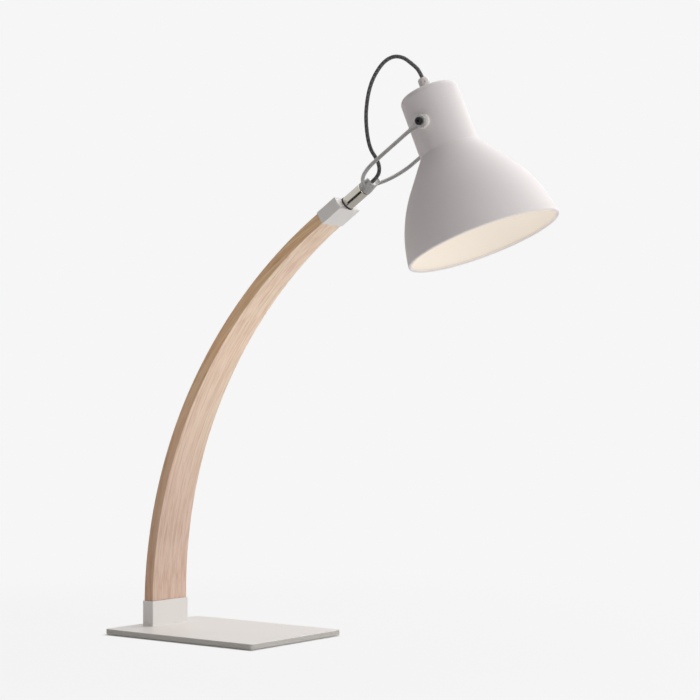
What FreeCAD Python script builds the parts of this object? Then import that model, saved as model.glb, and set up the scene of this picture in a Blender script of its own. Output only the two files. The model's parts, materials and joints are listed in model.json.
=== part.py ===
"""Desk lamp: a bent ash arm on a steel plate carries a spun shade in a wire yoke.

Frame: +X is the way the arm leans, +Z is up, and the origin is the centre of the
underside. Millimetres and degrees. Every driving size is a cell of the sheet `sizes`.
"""
import FreeCAD, Part
import math
import os
import Sketcher

Vector = FreeCAD.Vector
Rotation = FreeCAD.Rotation
Placement = FreeCAD.Placement

doc = FreeCAD.newDocument("desk_lamp")
sheet = doc.addObject("Spreadsheet::Sheet", "sizes")

SIZES = {
    # base
    "plate_length": 190,
    "plate_width": 136,
    "plate_thickness": 5,
    "plate_corner_radius": 3,
    "plate_edge_round": 0.5,
    "pad_thickness": 1,
    "pad_inset": 5,
    # foot ferrule
    "foot_setback": 11,
    "foot_depth": 14,
    "foot_width": 52,
    "foot_height": 25,
    "foot_wall": 1.8,
    "foot_floor": 6,
    "ferrule_round": 0.8,
    # base screws, countersunk from below
    "base_screw_spacing": 30,
    "base_screw_shank": 4,
    "base_screw_head": 8.6,
    "base_screw_length": 38,
    "screw_slack": 0.4,
    # arm, a bent board of even thickness that tapers in width
    "arm_thickness": 11.6,
    "arm_foot_width": 50.4,
    "arm_tip_width": 29.4,
    "arm_edge_round": 0.7,
    "low_radius": 427,
    "low_sweep_angle": 30.8,
    "high_radius": 467,
    "high_sweep_angle": 26.7,
    "glue_gap": 0.05,
    "lead_diameter": 3,
    "lead_slack": 1,
    "lead_bend": 7,
    # cord inlet
    "inlet_height": 10,
    "inlet_bore": 5.4,
    "inlet_body": 7.6,
    "inlet_flange": 10.4,
    "inlet_flange_thickness": 1.4,
    "inlet_lip": 1.2,
    # top ferrule
    "tip_depth": 13.2,
    "tip_width": 31.2,
    "tip_length": 25,
    "tip_wall": 1.6,
    "tip_head": 10.5,
    "tip_screw_spacing": 16,
    "tip_screw_shank": 2.4,
    "tip_screw_head": 4.8,
    "tip_screw_length": 6.5,
    # stem
    "stem_diameter": 13.6,
    "stem_length": 23.4,
    "stem_bore": 5.2,
    "thread_diameter": 8,
    "thread_length": 9,
    "washer_diameter": 14.2,
    "washer_thickness": 1.3,
    "spigot_diameter": 9.4,
    "spigot_length": 8.6,
    "groove_depth": 0.9,
    "groove_width": 2.6,
    "groove_height": 3.9,
    "stem_bevel": 0.4,
    # swivel
    "swivel_rest_angle": 5.5,
    "swivel_washer_thickness": 0.5,
    "running_gap": 0.05,
    # yoke block
    "block_length": 12.8,
    "block_straight": 2.4,
    "block_width": 21,
    "block_depth": 8.4,
    "grub_diameter": 3,
    "grub_tip": 1.8,
    "grub_recess": 0.6,
    "grub_key": 1.5,
    # yoke legs
    "yoke_reach": 124.8,
    "yoke_half_width": 33,
    "wire_diameter": 3.6,
    "wire_splay_angle": 60,
    "wire_bend_radius": 35.7,
    "wire_socket_height": 29.8,
    "wire_socket_offset": 6.84,
    "eye_diameter": 11.4,
    "eye_thickness": 2.6,
    "block_round": 0.8,
    "block_corner": 3.2,
    "scoop_radius": 16,
    "scoop_depth": 2,
    # shade
    "tilt_rest_angle": 20.5,
    "rim_radius": 72,
    "rim_slope_angle": 5.7,
    "bell_radius": 131,
    "shoulder_slope_angle": 36.3,
    "rim_drop": 118,
    "neck_foot_radius": 27.8,
    "neck_top_radius": 27.5,
    "neck_rise": 31.7,
    "neck_round": 6.5,
    "shade_wall": 1.2,
    "hem_width": 1.0,
    "hem_height": 3.2,
    # pivot
    "pivot_shank": 4,
    "pivot_head": 7,
    "pivot_head_height": 2.8,
    "pivot_key": 2.5,
    "pivot_key_depth": 1.7,
    "pivot_length": 12,
    "pivot_bevel": 0.4,
    "spacer_diameter": 13.4,
    "spacer_bevel": 0.6,
    "friction_thickness": 0.8,
    "friction_diameter": 11,
    "nut_flats": 7,
    "nut_height": 3.2,
    "seat_gap": 0.06,
    # cord grip
    "grip_diameter": 10.4,
    "grip_height": 13.5,
    "grip_dome": 2.8,
    "grip_screw_diameter": 2.4,
    "grip_screw_height": 8,
    "grip_screw_angle": -53,
    "grip_screw_recess": 0.4,
    "cable_diameter": 4.2,
    "cable_entry": 3.5,
    "cable_rise": 7,
    # lampholder
    "nipple_diameter": 8,
    "nipple_bore": 5,
    "nipple_drop": 9,
    "nipple_rise": 6,
    "nipple_nut_flats": 13,
    "nipple_nut_height": 3,
    "holder_diameter": 39,
    "holder_wall": 1.8,
    "cap_height": 22,
    "cap_neck_radius": 9,
    "cap_shoulder": 8,
    "skirt_height": 30,
    "skirt_lap": 5,
    "shell_radius": 13.4,
    "shell_wall": 0.5,
    "shell_height": 21,
    "ledge_width": 1.4,
    "disc_height": 5,
    "disc_depth": 10.3,
    "wire_hole": 3,
    "contact_width": 6,
    "contact_reach": 9,
    "contact_drop": 3,
    "contact_thickness": 0.6,
}

for row, (alias, number) in enumerate(SIZES.items(), start=1):
    sheet.set("A%d" % row, alias)
    sheet.set("B%d" % row, "%s" % number)
    sheet.setAlias("B%d" % row, alias)
doc.recompute()


class Size:
    """A number that carries the sheet formula it comes from."""

    def __init__(self, number, formula=None):
        self.number = float(number)
        self.formula = formula or "(%r)" % self.number

    def __add__(self, other):
        other = as_size(other)
        return Size(self.number + other.number, "(%s + %s)" % (self.formula, other.formula))

    def __sub__(self, other):
        other = as_size(other)
        return Size(self.number - other.number, "(%s - %s)" % (self.formula, other.formula))

    def __mul__(self, other):
        other = as_size(other)
        return Size(self.number * other.number, "(%s * %s)" % (self.formula, other.formula))

    def __truediv__(self, other):
        other = as_size(other)
        return Size(self.number / other.number, "(%s / %s)" % (self.formula, other.formula))

    def __neg__(self):
        return Size(-self.number, "(0 - %s)" % self.formula)

    __radd__ = __add__
    __rmul__ = __mul__

    def __rsub__(self, other):
        return as_size(other) - self


def as_size(value):
    """Take a plain number or a Size."""
    return value if isinstance(value, Size) else Size(value)


def sine(angle):
    return Size(math.sin(math.radians(angle.number)), "sin(%s)" % angle.formula)


def cosine(angle):
    return Size(math.cos(math.radians(angle.number)), "cos(%s)" % angle.formula)


def tangent(angle):
    return Size(math.tan(math.radians(angle.number)), "tan(%s)" % angle.formula)


def root(value):
    return Size(math.sqrt(value.number), "sqrt(%s)" % value.formula)


class Sheet:
    """Reads a cell by its alias: size.plate_length."""

    def __getattr__(self, alias):
        return Size(SIZES[alias], "sizes.%s" % alias)


size = Sheet()

x_axis = Vector(1, 0, 0)
y_axis = Vector(0, 1, 0)
z_axis = Vector(0, 0, 1)
NEAR_ZERO = 1e-6


# ---------------------------------------------------------------- drawing helpers

def new_body(name, frame=None):
    """An empty body, set in a frame."""
    body = doc.addObject("PartDesign::Body", name)
    body.Label = name
    if frame is not None:
        body.Placement = frame
    return body


def new_sketch(body, plane, height=None):
    """A sketch on one of the body's own origin planes, or at a height above it."""
    sketch = body.newObject("Sketcher::SketchObject", body.Name + "_sketch")
    planes = [item for item in body.Origin.OriginFeatures if item.Role == plane + "_Plane"]
    sketch.AttachmentSupport = [(planes[0], "")]
    sketch.MapMode = "FlatFace"
    if height is not None:
        sketch.setExpression("AttachmentOffset.Base.z", as_size(height).formula)
    return sketch


def tilt_sketch(sketch, place, axis, angle):
    """Move a sketch to a place on its plane's own axes and turn it about one of them."""
    point = Vector(*[as_size(value).number for value in place])
    sketch.AttachmentOffset = Placement(point, Rotation(axis, as_size(angle).number))
    for letter, value in zip("xyz", place):
        sketch.setExpression("AttachmentOffset.Base." + letter, as_size(value).formula)


def pin_point(sketch, edge, end, x, y):
    """Fix one end of an edge at a place given by two sizes."""
    for kind, value in (("DistanceX", as_size(x)), ("DistanceY", as_size(y))):
        rule = Sketcher.Constraint(kind, -1, 1, edge, end, value.number)
        index = sketch.addConstraint(rule)
        sketch.setExpression("Constraints[%d]" % index, value.formula)


def pin_radius(sketch, edge, radius):
    index = sketch.addConstraint(Sketcher.Constraint("Radius", edge, radius.number))
    sketch.setExpression("Constraints[%d]" % index, radius.formula)


def add_edge(sketch, start, end, bend=None):
    """Add a line, or an arc that turns left (+radius) or right (-radius)."""
    p = Vector(as_size(start[0]).number, as_size(start[1]).number, 0)
    q = Vector(as_size(end[0]).number, as_size(end[1]).number, 0)
    if bend is None:
        return sketch.addGeometry(Part.LineSegment(p, q), False), 1, 2
    left = bend.number > 0
    radius = abs(bend.number)
    half = (q - p) * 0.5
    side = Vector(-half.y, half.x, 0).normalize() * (1 if left else -1)
    rise = math.sqrt(max(radius ** 2 - half.Length ** 2, 0))
    centre = p + half + side * rise
    first, last = (p, q) if left else (q, p)
    angle_1 = math.atan2(first.y - centre.y, first.x - centre.x)
    angle_2 = math.atan2(last.y - centre.y, last.x - centre.x)
    if angle_2 <= angle_1:
        angle_2 += 2 * math.pi
    circle = Part.Circle(centre, z_axis, radius)
    edge = sketch.addGeometry(Part.ArcOfCircle(circle, angle_1, angle_2), False)
    pin_radius(sketch, edge, bend if left else -bend)
    return (edge, 1, 2) if left else (edge, 2, 1)


def draw_path(sketch, points, bends=None, closed=False):
    """Draw a chain through points; bends maps a point's index to the arc that leaves it."""
    bends = bends or {}
    count = len(points) if closed else len(points) - 1
    edges = []
    for index in range(count):
        follower = points[(index + 1) % len(points)]
        edges.append(add_edge(sketch, points[index], follower, bends.get(index)))
    for index in range(count):
        edge, start, end = edges[index]
        if closed or index + 1 < count:
            after, after_start, _ = edges[(index + 1) % count]
            joint = Sketcher.Constraint("Coincident", edge, end, after, after_start)
            sketch.addConstraint(joint)
        pin_point(sketch, edge, start, *points[index])
    if not closed:
        edge, _, end = edges[-1]
        pin_point(sketch, edge, end, *points[-1])


def draw_outline(sketch, points, bends=None):
    draw_path(sketch, points, bends, closed=True)


def draw_circle(sketch, x, y, radius):
    """A full circle with its centre at (x, y)."""
    centre = Vector(as_size(x).number, as_size(y).number, 0)
    edge = sketch.addGeometry(Part.Circle(centre, z_axis, radius.number), False)
    pin_radius(sketch, edge, radius)
    pin_point(sketch, edge, 3, x, y)


def draw_box(sketch, x_low, y_low, x_high, y_high, corner=None):
    """A rectangle, with round corners where a corner radius is given."""
    if corner is None:
        draw_outline(sketch, [
            (x_low, y_low), (x_high, y_low), (x_high, y_high), (x_low, y_high)])
        return
    draw_outline(sketch, [
        (x_low + corner, y_low), (x_high - corner, y_low),
        (x_high, y_low + corner), (x_high, y_high - corner),
        (x_high - corner, y_high), (x_low + corner, y_high),
        (x_low, y_high - corner), (x_low, y_low + corner),
    ], {1: corner, 3: corner, 5: corner, 7: corner})


def draw_hexagon(sketch, flats):
    """A hexagon about the origin, given across its flats."""
    reach = flats / (2 * math.cos(math.pi / 6))
    points = []
    for corner in range(6):
        angle = corner * math.pi / 3
        points.append((reach * math.cos(angle), reach * math.sin(angle)))
    draw_outline(sketch, points)


def feature(body, kind, profile, **settings):
    """Add a PartDesign feature on a sketch; settings that are Sizes become formulas."""
    item = body.newObject("PartDesign::" + kind, body.Name + "_" + kind.lower())
    item.Profile = profile
    for name, value in settings.items():
        if isinstance(value, Size):
            setattr(item, name, value.number)
            item.setExpression(name, value.formula)
        else:
            setattr(item, name, value)
    profile.Visibility = False
    doc.recompute()
    return item


def pad(body, profile, length, **settings):
    return feature(body, "Pad", profile, Length=length, **settings)


def cut(body, kind, profile, **settings):
    """A feature that must take something away."""
    before = body.Tip.Shape.Volume
    item = feature(body, kind, profile, **settings)
    if item.Shape.Volume >= before - NEAR_ZERO:
        raise RuntimeError("%s cuts nothing" % item.Label)
    return item


def pocket(body, profile, length=None, **settings):
    """A pocket of a given depth, or right through both ways."""
    if length is None:
        return cut(body, "Pocket", profile, Type=1, Midplane=True, **settings)
    return cut(body, "Pocket", profile, Length=length, **settings)


def turn(body, points, bends=None):
    """Revolve a half profile, drawn on XZ as (radius, height), about the Z axis."""
    sketch = new_sketch(body, "XZ")
    draw_outline(sketch, points, bends)
    return feature(body, "Revolution", sketch, ReferenceAxis=(sketch, ["V_Axis"]), Angle=360)


def turn_ring(body, inner, outer, low, high, bevel=None):
    """A turned ring, with its outer top edge bevelled where a bevel is given."""
    points = [(inner, low), (outer, low), (outer, high), (inner, high)]
    if bevel is not None:
        points[2:3] = [(outer, high - bevel), (outer - bevel, high)]
    return turn(body, points)


def treat_edges(body, kind, chosen, amount):
    """Fillet or chamfer the edges of the body's last feature that a test picks."""
    base = body.Tip
    names = ["Edge%d" % (n + 1) for n, edge in enumerate(base.Shape.Edges) if chosen(edge)]
    item = body.newObject("PartDesign::" + kind, body.Name + "_" + kind.lower())
    item.Base = (base, names)
    setting = "Radius" if kind == "Fillet" else "Size"
    setattr(item, setting, amount.number)
    item.setExpression(setting, amount.formula)
    doc.recompute()
    return item


def fillet(body, chosen, radius):
    return treat_edges(body, "Fillet", chosen, radius)


def chamfer(body, chosen, reach):
    return treat_edges(body, "Chamfer", chosen, reach)


def is_upright(edge):
    ends = edge.Vertexes
    if len(ends) != 2:
        return False
    run = ends[1].Point - ends[0].Point
    return math.hypot(run.x, run.y) < NEAR_ZERO < abs(run.z)


def lies_at(axis, height, radius=None):
    """A test for edges that lie in one plane, and for circles of one radius if given."""
    def test(edge):
        box = edge.BoundBox
        low = getattr(box, axis + "Min")
        high = getattr(box, axis + "Max")
        if abs(low - height.number) > NEAR_ZERO or abs(high - height.number) > NEAR_ZERO:
            return False
        if radius is None:
            return True
        curve = edge.Curve
        return curve.TypeId == "Part::GeomCircle" and abs(curve.Radius - radius.number) < NEAR_ZERO
    return test


def both_sides(name, body, frame=None):
    """One node of two solids: a body and its mirror image in Y, set in a frame."""
    body.Label = name + "_near"
    mirror = doc.addObject("Part::Mirroring", name + "_mirror")
    mirror.Source = body
    mirror.Normal = (0, 1, 0)
    node = doc.addObject("Part::Compound", name)
    node.Links = [body, mirror]
    node.Label = name
    doc.recompute()
    if frame is not None:
        node.Placement = frame


# ---------------------------------------------------------------- frames

plate_top = size.pad_thickness + size.plate_thickness
foot_x = size.foot_setback + size.foot_depth / 2 - size.plate_length / 2
foot_back = foot_x - size.foot_depth / 2
foot_mouth = plate_top + size.foot_height
lean_mid = size.low_sweep_angle
lean_end = size.low_sweep_angle + size.high_sweep_angle


def arm_point(offset, stage):
    """A point of the arm at an offset from the centre line towards the hollow side.

    Stage 0 is the foot ferrule's mouth, 1 the change of radius, 2 the top ferrule's mouth.
    """
    x = foot_x + offset
    z = foot_mouth
    if stage > 0:
        x = foot_x + size.low_radius - (size.low_radius - offset) * cosine(lean_mid)
        z = foot_mouth + (size.low_radius - offset) * sine(lean_mid)
    if stage > 1:
        reach = size.high_radius - offset
        x = x + reach * (cosine(lean_mid) - cosine(lean_end))
        z = z + reach * (sine(lean_end) - sine(lean_mid))
    return x, z


def arm_axis_beyond(distance):
    """A point on the line that carries on from the arm's upper end."""
    x, z = arm_point(Size(0), 2)
    return x + distance * sine(lean_end), z + distance * cosine(lean_end)


tip_mouth = arm_point(Size(0), 2)
tip_face = arm_axis_beyond(size.tip_length)

# The stem frame stands on the top ferrule's end face, with +Z out along the stem.
stem_frame = Placement(
    Vector(tip_face[0].number, 0, tip_face[1].number), Rotation(y_axis, lean_end.number))

# The yoke frame is the stem frame turned about the stem by the swivel at rest.
yoke_frame = stem_frame.multiply(
    Placement(Vector(), Rotation(z_axis, size.swivel_rest_angle.number)))

# The head frame has its origin on the pivot, +Z up the shade's axis and Y along the pivot.
head_frame = yoke_frame.multiply(Placement(
    Vector(0, 0, size.yoke_reach.number),
    Rotation(y_axis, -(lean_end + size.tilt_rest_angle).number)))

# Turns a frame so that its +Z runs out of the head's near side.
near_side = Placement(Vector(), Rotation(x_axis, 90))


# ---------------------------------------------------------------- base

base_hole_radius = (size.base_screw_shank + size.screw_slack) / 2
base_head_radius = size.base_screw_head / 2
inlet_z = plate_top + size.inlet_height


def draw_screw_pair(sketch, radius):
    """The two circles of the base screws, seen from above."""
    for side in (-1, 1):
        draw_circle(sketch, foot_x, size.base_screw_spacing / 2 * side, radius)


def make_base_plate():
    """The plate, with two clearance holes under the ferrule countersunk from below."""
    body = new_body("base_plate")
    half_length = size.plate_length / 2
    half_width = size.plate_width / 2
    outline = new_sketch(body, "XY", size.pad_thickness)
    draw_box(outline, -half_length, -half_width, half_length, half_width,
             size.plate_corner_radius)
    pad(body, outline, size.plate_thickness)
    fillet(body, lies_at("Z", plate_top), size.plate_edge_round)
    holes = new_sketch(body, "XY", size.pad_thickness)
    draw_screw_pair(holes, base_hole_radius)
    pocket(body, holes)
    chamfer(body, lies_at("Z", size.pad_thickness, base_hole_radius),
            base_head_radius - base_hole_radius)


def make_base_pad():
    body = new_body("base_pad")
    half_length = size.plate_length / 2 - size.pad_inset
    half_width = size.plate_width / 2 - size.pad_inset
    outline = new_sketch(body, "XY")
    draw_box(outline, -half_length, -half_width, half_length, half_width,
             size.plate_corner_radius)
    pad(body, outline, size.pad_thickness)
    holes = new_sketch(body, "XY")
    draw_screw_pair(holes, base_head_radius)
    pocket(body, holes)


def make_foot_ferrule():
    """A rectangular cup with a thick floor for the screws and a hole for the inlet."""
    body = new_body("foot_ferrule")
    foot_front = foot_x + size.foot_depth / 2
    half_width = size.foot_width / 2
    wall = size.foot_wall
    outline = new_sketch(body, "XY", plate_top)
    draw_box(outline, foot_back, -half_width, foot_front, half_width)
    pad(body, outline, size.foot_height)
    fillet(body, is_upright, size.ferrule_round)
    cup = new_sketch(body, "XY", foot_mouth)
    draw_box(cup, foot_back + wall, -half_width + wall, foot_front - wall, half_width - wall)
    pocket(body, cup, size.foot_height - size.foot_floor)
    holes = new_sketch(body, "XY", plate_top)
    draw_screw_pair(holes, base_hole_radius)
    pocket(body, holes)
    inlet = new_sketch(body, "YZ", foot_back)
    draw_circle(inlet, 0, inlet_z, size.inlet_body / 2)
    pocket(body, inlet, wall, Reversed=True)


def make_base_screws():
    """Countersunk wood screws that stand in the plate with their heads below."""
    frame = Placement(
        Vector(foot_x.number, -size.base_screw_spacing.number / 2, size.pad_thickness.number),
        Rotation())
    body = new_body("base_screw", frame)
    shank = size.base_screw_shank / 2
    end = size.base_screw_length
    turn(body, [(0, 0), (base_head_radius, 0), (shank, base_head_radius - shank),
                (shank, end - size.base_screw_shank), (0, end)])
    both_sides("base_screws", body)


def make_cord_inlet():
    """A flanged bush pressed into the ferrule's back, with its bore along X."""
    frame = Placement(
        Vector(foot_back.number, 0, inlet_z.number), Rotation(y_axis, -90))
    body = new_body("cord_inlet", frame)
    bore = size.inlet_bore / 2
    barrel = size.inlet_body / 2
    flange = size.inlet_flange / 2
    depth = size.foot_wall + size.inlet_lip
    bevel = size.stem_bevel
    high = size.inlet_flange_thickness
    turn(body, [(bore, -depth), (barrel, -depth), (barrel, 0), (flange, 0),
                (flange, high - bevel), (flange - bevel, high), (bore, high)])


# ---------------------------------------------------------------- arm

channel_radius = (size.lead_diameter + size.lead_slack) / 2
tip_screw_height = (size.tip_length - size.tip_head) / 2
tip_hole_radius = size.tip_screw_shank / 2 + size.glue_gap
tip_head_radius = size.tip_screw_head / 2

# The top ferrule's back face at the height of its screws, with +Z out of the face.
tip_back_frame = stem_frame.multiply(Placement(
    Vector(-size.tip_depth.number / 2, 0, (tip_screw_height - size.tip_length).number),
    Rotation(y_axis, -90)))


def make_wood_arm():
    """A board of even thickness, bent in two arcs, sawn to a taper and tenoned both ends."""
    body = new_body("wood_arm")
    half = size.arm_thickness / 2
    side_view = new_sketch(body, "XZ")
    draw_outline(
        side_view,
        [arm_point(-half, 0), arm_point(half, 0), arm_point(half, 1), arm_point(half, 2),
         arm_point(-half, 2), arm_point(-half, 1)],
        {1: half - size.low_radius, 2: half - size.high_radius,
         4: size.high_radius + half, 5: size.low_radius + half})
    pad(body, side_view, size.arm_foot_width, Midplane=True)
    saw_taper(body)
    fillet(body, is_long_edge, size.arm_edge_round)
    add_tenons(body)
    bore_channel(body)
    bore_pilot_holes(body)


def is_long_edge(edge):
    return edge.Length > size.tip_length.number * 4


def saw_taper(body):
    """Cut both sides along planes that meet the chord from mouth to mouth."""
    rise_x = tip_mouth[0] - foot_x
    rise_z = tip_mouth[1] - foot_mouth
    chord = root(rise_x * rise_x + rise_z * rise_z)
    lean = math.degrees(math.atan2(rise_x.number, rise_z.number))
    sketch = new_sketch(body, "YZ")
    tilt_sketch(sketch, (0, foot_mouth, foot_x), x_axis, lean)
    foot = size.arm_foot_width / 2
    tip = size.arm_tip_width / 2
    over = size.arm_foot_width
    spread = (foot - tip) * over / chord
    for side in (-1, 1):
        draw_outline(sketch, [
            ((foot + spread) * side, -over), ((foot + over) * side, -over),
            ((foot + over) * side, chord + over), ((tip - spread) * side, chord + over)])
    pocket(body, sketch)


def add_tenons(body):
    """Stepped ends that fill the two ferrules but for the glue."""
    gap = size.glue_gap
    foot_sketch = new_sketch(body, "XY", foot_mouth)
    half_depth = size.foot_depth / 2 - size.foot_wall - gap
    half_width = size.foot_width / 2 - size.foot_wall - gap
    draw_box(foot_sketch, foot_x - half_depth, -half_width, foot_x + half_depth, half_width)
    pad(body, foot_sketch, size.foot_height - size.foot_floor, Reversed=True)
    tip_sketch = new_sketch(body, "XY")
    tilt_sketch(tip_sketch, (tip_mouth[0], 0, tip_mouth[1]), y_axis, lean_end)
    half_depth = size.tip_depth / 2 - size.tip_wall - gap
    half_width = size.tip_width / 2 - size.tip_wall - gap
    draw_box(tip_sketch, -half_depth, -half_width, half_depth, half_width)
    pad(body, tip_sketch, size.tip_length - size.tip_head)


def bore_channel(body):
    """The way for the inner lead: a bore up the middle and a slot to the inlet."""
    low = plate_top + size.foot_floor
    past = size.tip_length - size.tip_head + size.glue_gap
    path = new_sketch(body, "XZ")
    draw_path(path, [
        (foot_x, low), arm_point(Size(0), 0), arm_point(Size(0), 1), arm_point(Size(0), 2),
        arm_axis_beyond(past)], {1: -size.low_radius, 2: -size.high_radius})
    ring = new_sketch(body, "XY", low)
    draw_circle(ring, foot_x, 0, channel_radius)
    cut(body, "SubtractivePipe", ring, Spine=(path, []))
    slot_width = size.inlet_body + size.lead_slack
    slot = new_sketch(body, "XZ")
    draw_box(slot, foot_back, low, foot_x + channel_radius, inlet_z + size.lead_bend)
    pocket(body, slot, slot_width, Midplane=True)


def bore_pilot_holes(body):
    """Holes that the base screws and the ferrule screws bite into."""
    base_holes = new_sketch(body, "XY", size.pad_thickness)
    draw_screw_pair(base_holes, size.base_screw_shank / 2 + size.glue_gap)
    pocket(body, base_holes, size.base_screw_length + size.glue_gap, Reversed=True)
    tip_holes = new_sketch(body, "XY")
    tip_holes.AttachmentOffset = tip_back_frame
    for side in (-1, 1):
        draw_circle(tip_holes, 0, size.tip_screw_spacing / 2 * side, tip_hole_radius)
    pocket(body, tip_holes, size.tip_screw_length + size.glue_gap)


def make_inner_lead():
    """The flex that climbs the arm from the inlet to the end of the stem's spigot."""
    body = new_body("inner_lead")
    start_x = foot_back - size.inlet_flange_thickness
    bend = size.lead_bend
    past = size.tip_length + size.stem_length + size.spigot_length
    path = new_sketch(body, "XZ")
    draw_path(path, [
        (start_x, inlet_z), (foot_x - bend, inlet_z), (foot_x, inlet_z + bend),
        arm_point(Size(0), 0), arm_point(Size(0), 1), arm_point(Size(0), 2),
        arm_axis_beyond(past)], {1: bend, 3: -size.low_radius, 4: -size.high_radius})
    ring = new_sketch(body, "YZ", start_x)
    draw_circle(ring, 0, inlet_z, size.lead_diameter / 2)
    feature(body, "AdditivePipe", ring, Spine=(path, []))
    print("inner_lead radii", bend.number, size.low_radius.number, size.high_radius.number)


# ---------------------------------------------------------------- top ferrule and stem

def make_top_ferrule():
    """A rectangular cap: a cup for the tenon below a solid head tapped for the stem."""
    body = new_body("top_ferrule", stem_frame)
    half_depth = size.tip_depth / 2
    half_width = size.tip_width / 2
    wall = size.tip_wall
    outline = new_sketch(body, "XY")
    draw_box(outline, -half_depth, -half_width, half_depth, half_width)
    pad(body, outline, size.tip_length, Reversed=True)
    end_face = lies_at("Z", Size(0))
    fillet(body, lambda edge: is_upright(edge) or end_face(edge), size.ferrule_round)
    cup = new_sketch(body, "XY", -size.tip_length)
    draw_box(cup, wall - half_depth, wall - half_width, half_depth - wall, half_width - wall)
    pocket(body, cup, size.tip_length - size.tip_head, Reversed=True)
    tapped = new_sketch(body, "XY")
    draw_circle(tapped, 0, 0, size.thread_diameter / 2)
    pocket(body, tapped, size.tip_head)
    seats = new_sketch(body, "YZ", -half_depth)
    for side in (-1, 1):
        draw_circle(seats, size.tip_screw_spacing / 2 * side,
                    tip_screw_height - size.tip_length, tip_hole_radius)
    pocket(body, seats, wall, Reversed=True)
    chamfer(body, lies_at("X", -half_depth, tip_hole_radius), tip_head_radius - tip_hole_radius)


def make_ferrule_screws():
    """Two small countersunk screws in the top ferrule's back."""
    shift = Vector(0, -size.tip_screw_spacing.number / 2, 0)
    body = new_body("ferrule_screw", Placement(shift, Rotation()))
    shank = size.tip_screw_shank / 2
    end = size.tip_screw_length
    turn(body, [(0, 0), (0, -end), (shank, size.tip_screw_shank - end),
                (shank, shank - tip_head_radius), (tip_head_radius, 0)])
    both_sides("ferrule_screws", body, tip_back_frame)


def make_stem_washer():
    body = new_body("stem_washer", stem_frame)
    turn_ring(body, size.thread_diameter / 2, size.washer_diameter / 2, 0,
              size.washer_thickness)


def make_stem():
    """A hollow turned stem: thread below, polished barrel, grooved spigot above."""
    body = new_body("stem", stem_frame)
    bore = size.stem_bore / 2
    thread = size.thread_diameter / 2
    barrel = size.stem_diameter / 2
    spigot = size.spigot_diameter / 2
    groove = spigot - size.groove_depth
    bevel = size.stem_bevel
    foot = size.washer_thickness
    shoulder = size.stem_length
    top = shoulder + size.spigot_length
    groove_low = shoulder + size.groove_height - size.groove_width / 2
    groove_high = groove_low + size.groove_width
    turn(body, [
        (bore, -size.thread_length), (thread, -size.thread_length), (thread, foot),
        (barrel - bevel, foot), (barrel, foot + bevel), (barrel, shoulder - bevel),
        (barrel - bevel, shoulder), (spigot, shoulder), (spigot, groove_low),
        (groove, groove_low), (groove, groove_high), (spigot, groove_high),
        (spigot, top - bevel), (spigot - bevel, top), (bore, top)])


# ---------------------------------------------------------------- yoke

block_foot = size.stem_length + size.swivel_washer_thickness
block_top = block_foot + size.block_length
spigot_end = size.stem_length + size.spigot_length + size.running_gap
grub_z = size.stem_length + size.groove_height
eye_inner = size.yoke_half_width - size.eye_thickness / 2
eye_outer = size.yoke_half_width + size.eye_thickness / 2


def make_swivel_washer():
    body = new_body("swivel_washer", yoke_frame)
    turn_ring(body, size.spigot_diameter / 2 + size.running_gap,
              size.stem_diameter / 2 - size.stem_bevel, size.stem_length, block_foot)


def make_yoke_block():
    """A fishtail: round at the stem, drawn out wide and flat, and hollowed between the wires."""
    body = new_body("yoke_block", yoke_frame)
    radius = size.stem_diameter / 2
    straight = new_sketch(body, "XY", block_foot)
    draw_circle(straight, 0, 0, radius)
    pad(body, straight, size.block_straight)
    corner = radius - size.stem_bevel
    low = new_sketch(body, "XY", block_foot + size.block_straight)
    draw_box(low, -radius, -radius, radius, radius, corner)
    high = new_sketch(body, "XY", block_top)
    depth = size.block_depth / 2
    width = size.block_width / 2
    draw_box(high, -depth, -width, depth, width, size.block_corner)
    feature(body, "AdditiveLoft", low, Sections=[high])
    fillet(body, lies_at("Z", block_top), size.block_round)
    scoop = new_sketch(body, "YZ")
    draw_circle(scoop, 0, block_top + size.scoop_radius - size.scoop_depth, size.scoop_radius)
    pocket(body, scoop)
    bore = new_sketch(body, "XY", block_foot)
    draw_circle(bore, 0, 0, size.spigot_diameter / 2 + size.running_gap)
    pocket(body, bore, spigot_end - block_foot, Reversed=True)
    outlet = new_sketch(body, "XY", block_top)
    draw_circle(outlet, 0, 0, size.cable_diameter / 2 + size.running_gap)
    pocket(body, outlet, block_top - spigot_end + size.running_gap)
    grub = new_sketch(body, "YZ", radius)
    draw_circle(grub, 0, grub_z, size.grub_diameter / 2)
    pocket(body, grub, radius - size.spigot_diameter / 2)
    for side in (-1, 1):
        socket = wire_ring(body, side, size.wire_diameter / 2)
        pocket(body, socket, size.block_width, Reversed=True)


def wire_ring(body, side, radius):
    """A circle across a leg's inner end, with the sketch's +Z out along the wire."""
    ring = new_sketch(body, "XY")
    tilt_sketch(ring, (0, size.wire_socket_offset * side, size.wire_socket_height),
                x_axis, -size.wire_splay_angle * side)
    draw_circle(ring, 0, 0, radius)
    return ring


def make_swivel_screw():
    """A grub screw whose tip runs in the spigot's groove."""
    frame = yoke_frame.multiply(Placement(
        Vector(size.stem_diameter.number / 2, 0, grub_z.number), Rotation(y_axis, 90)))
    body = new_body("swivel_screw", frame)
    outside = size.grub_diameter / 2
    tip = size.grub_tip / 2
    shoulder = (size.spigot_diameter - size.stem_diameter) / 2 + size.running_gap
    end = shoulder + size.running_gap - size.groove_depth
    turn(body, [(0, end), (tip, end), (tip, shoulder), (outside, shoulder),
                (outside, -size.grub_recess), (0, -size.grub_recess)])
    socket = new_sketch(body, "XY", -size.grub_recess)
    draw_hexagon(socket, size.grub_key)
    pocket(body, socket, size.grub_key)


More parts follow.
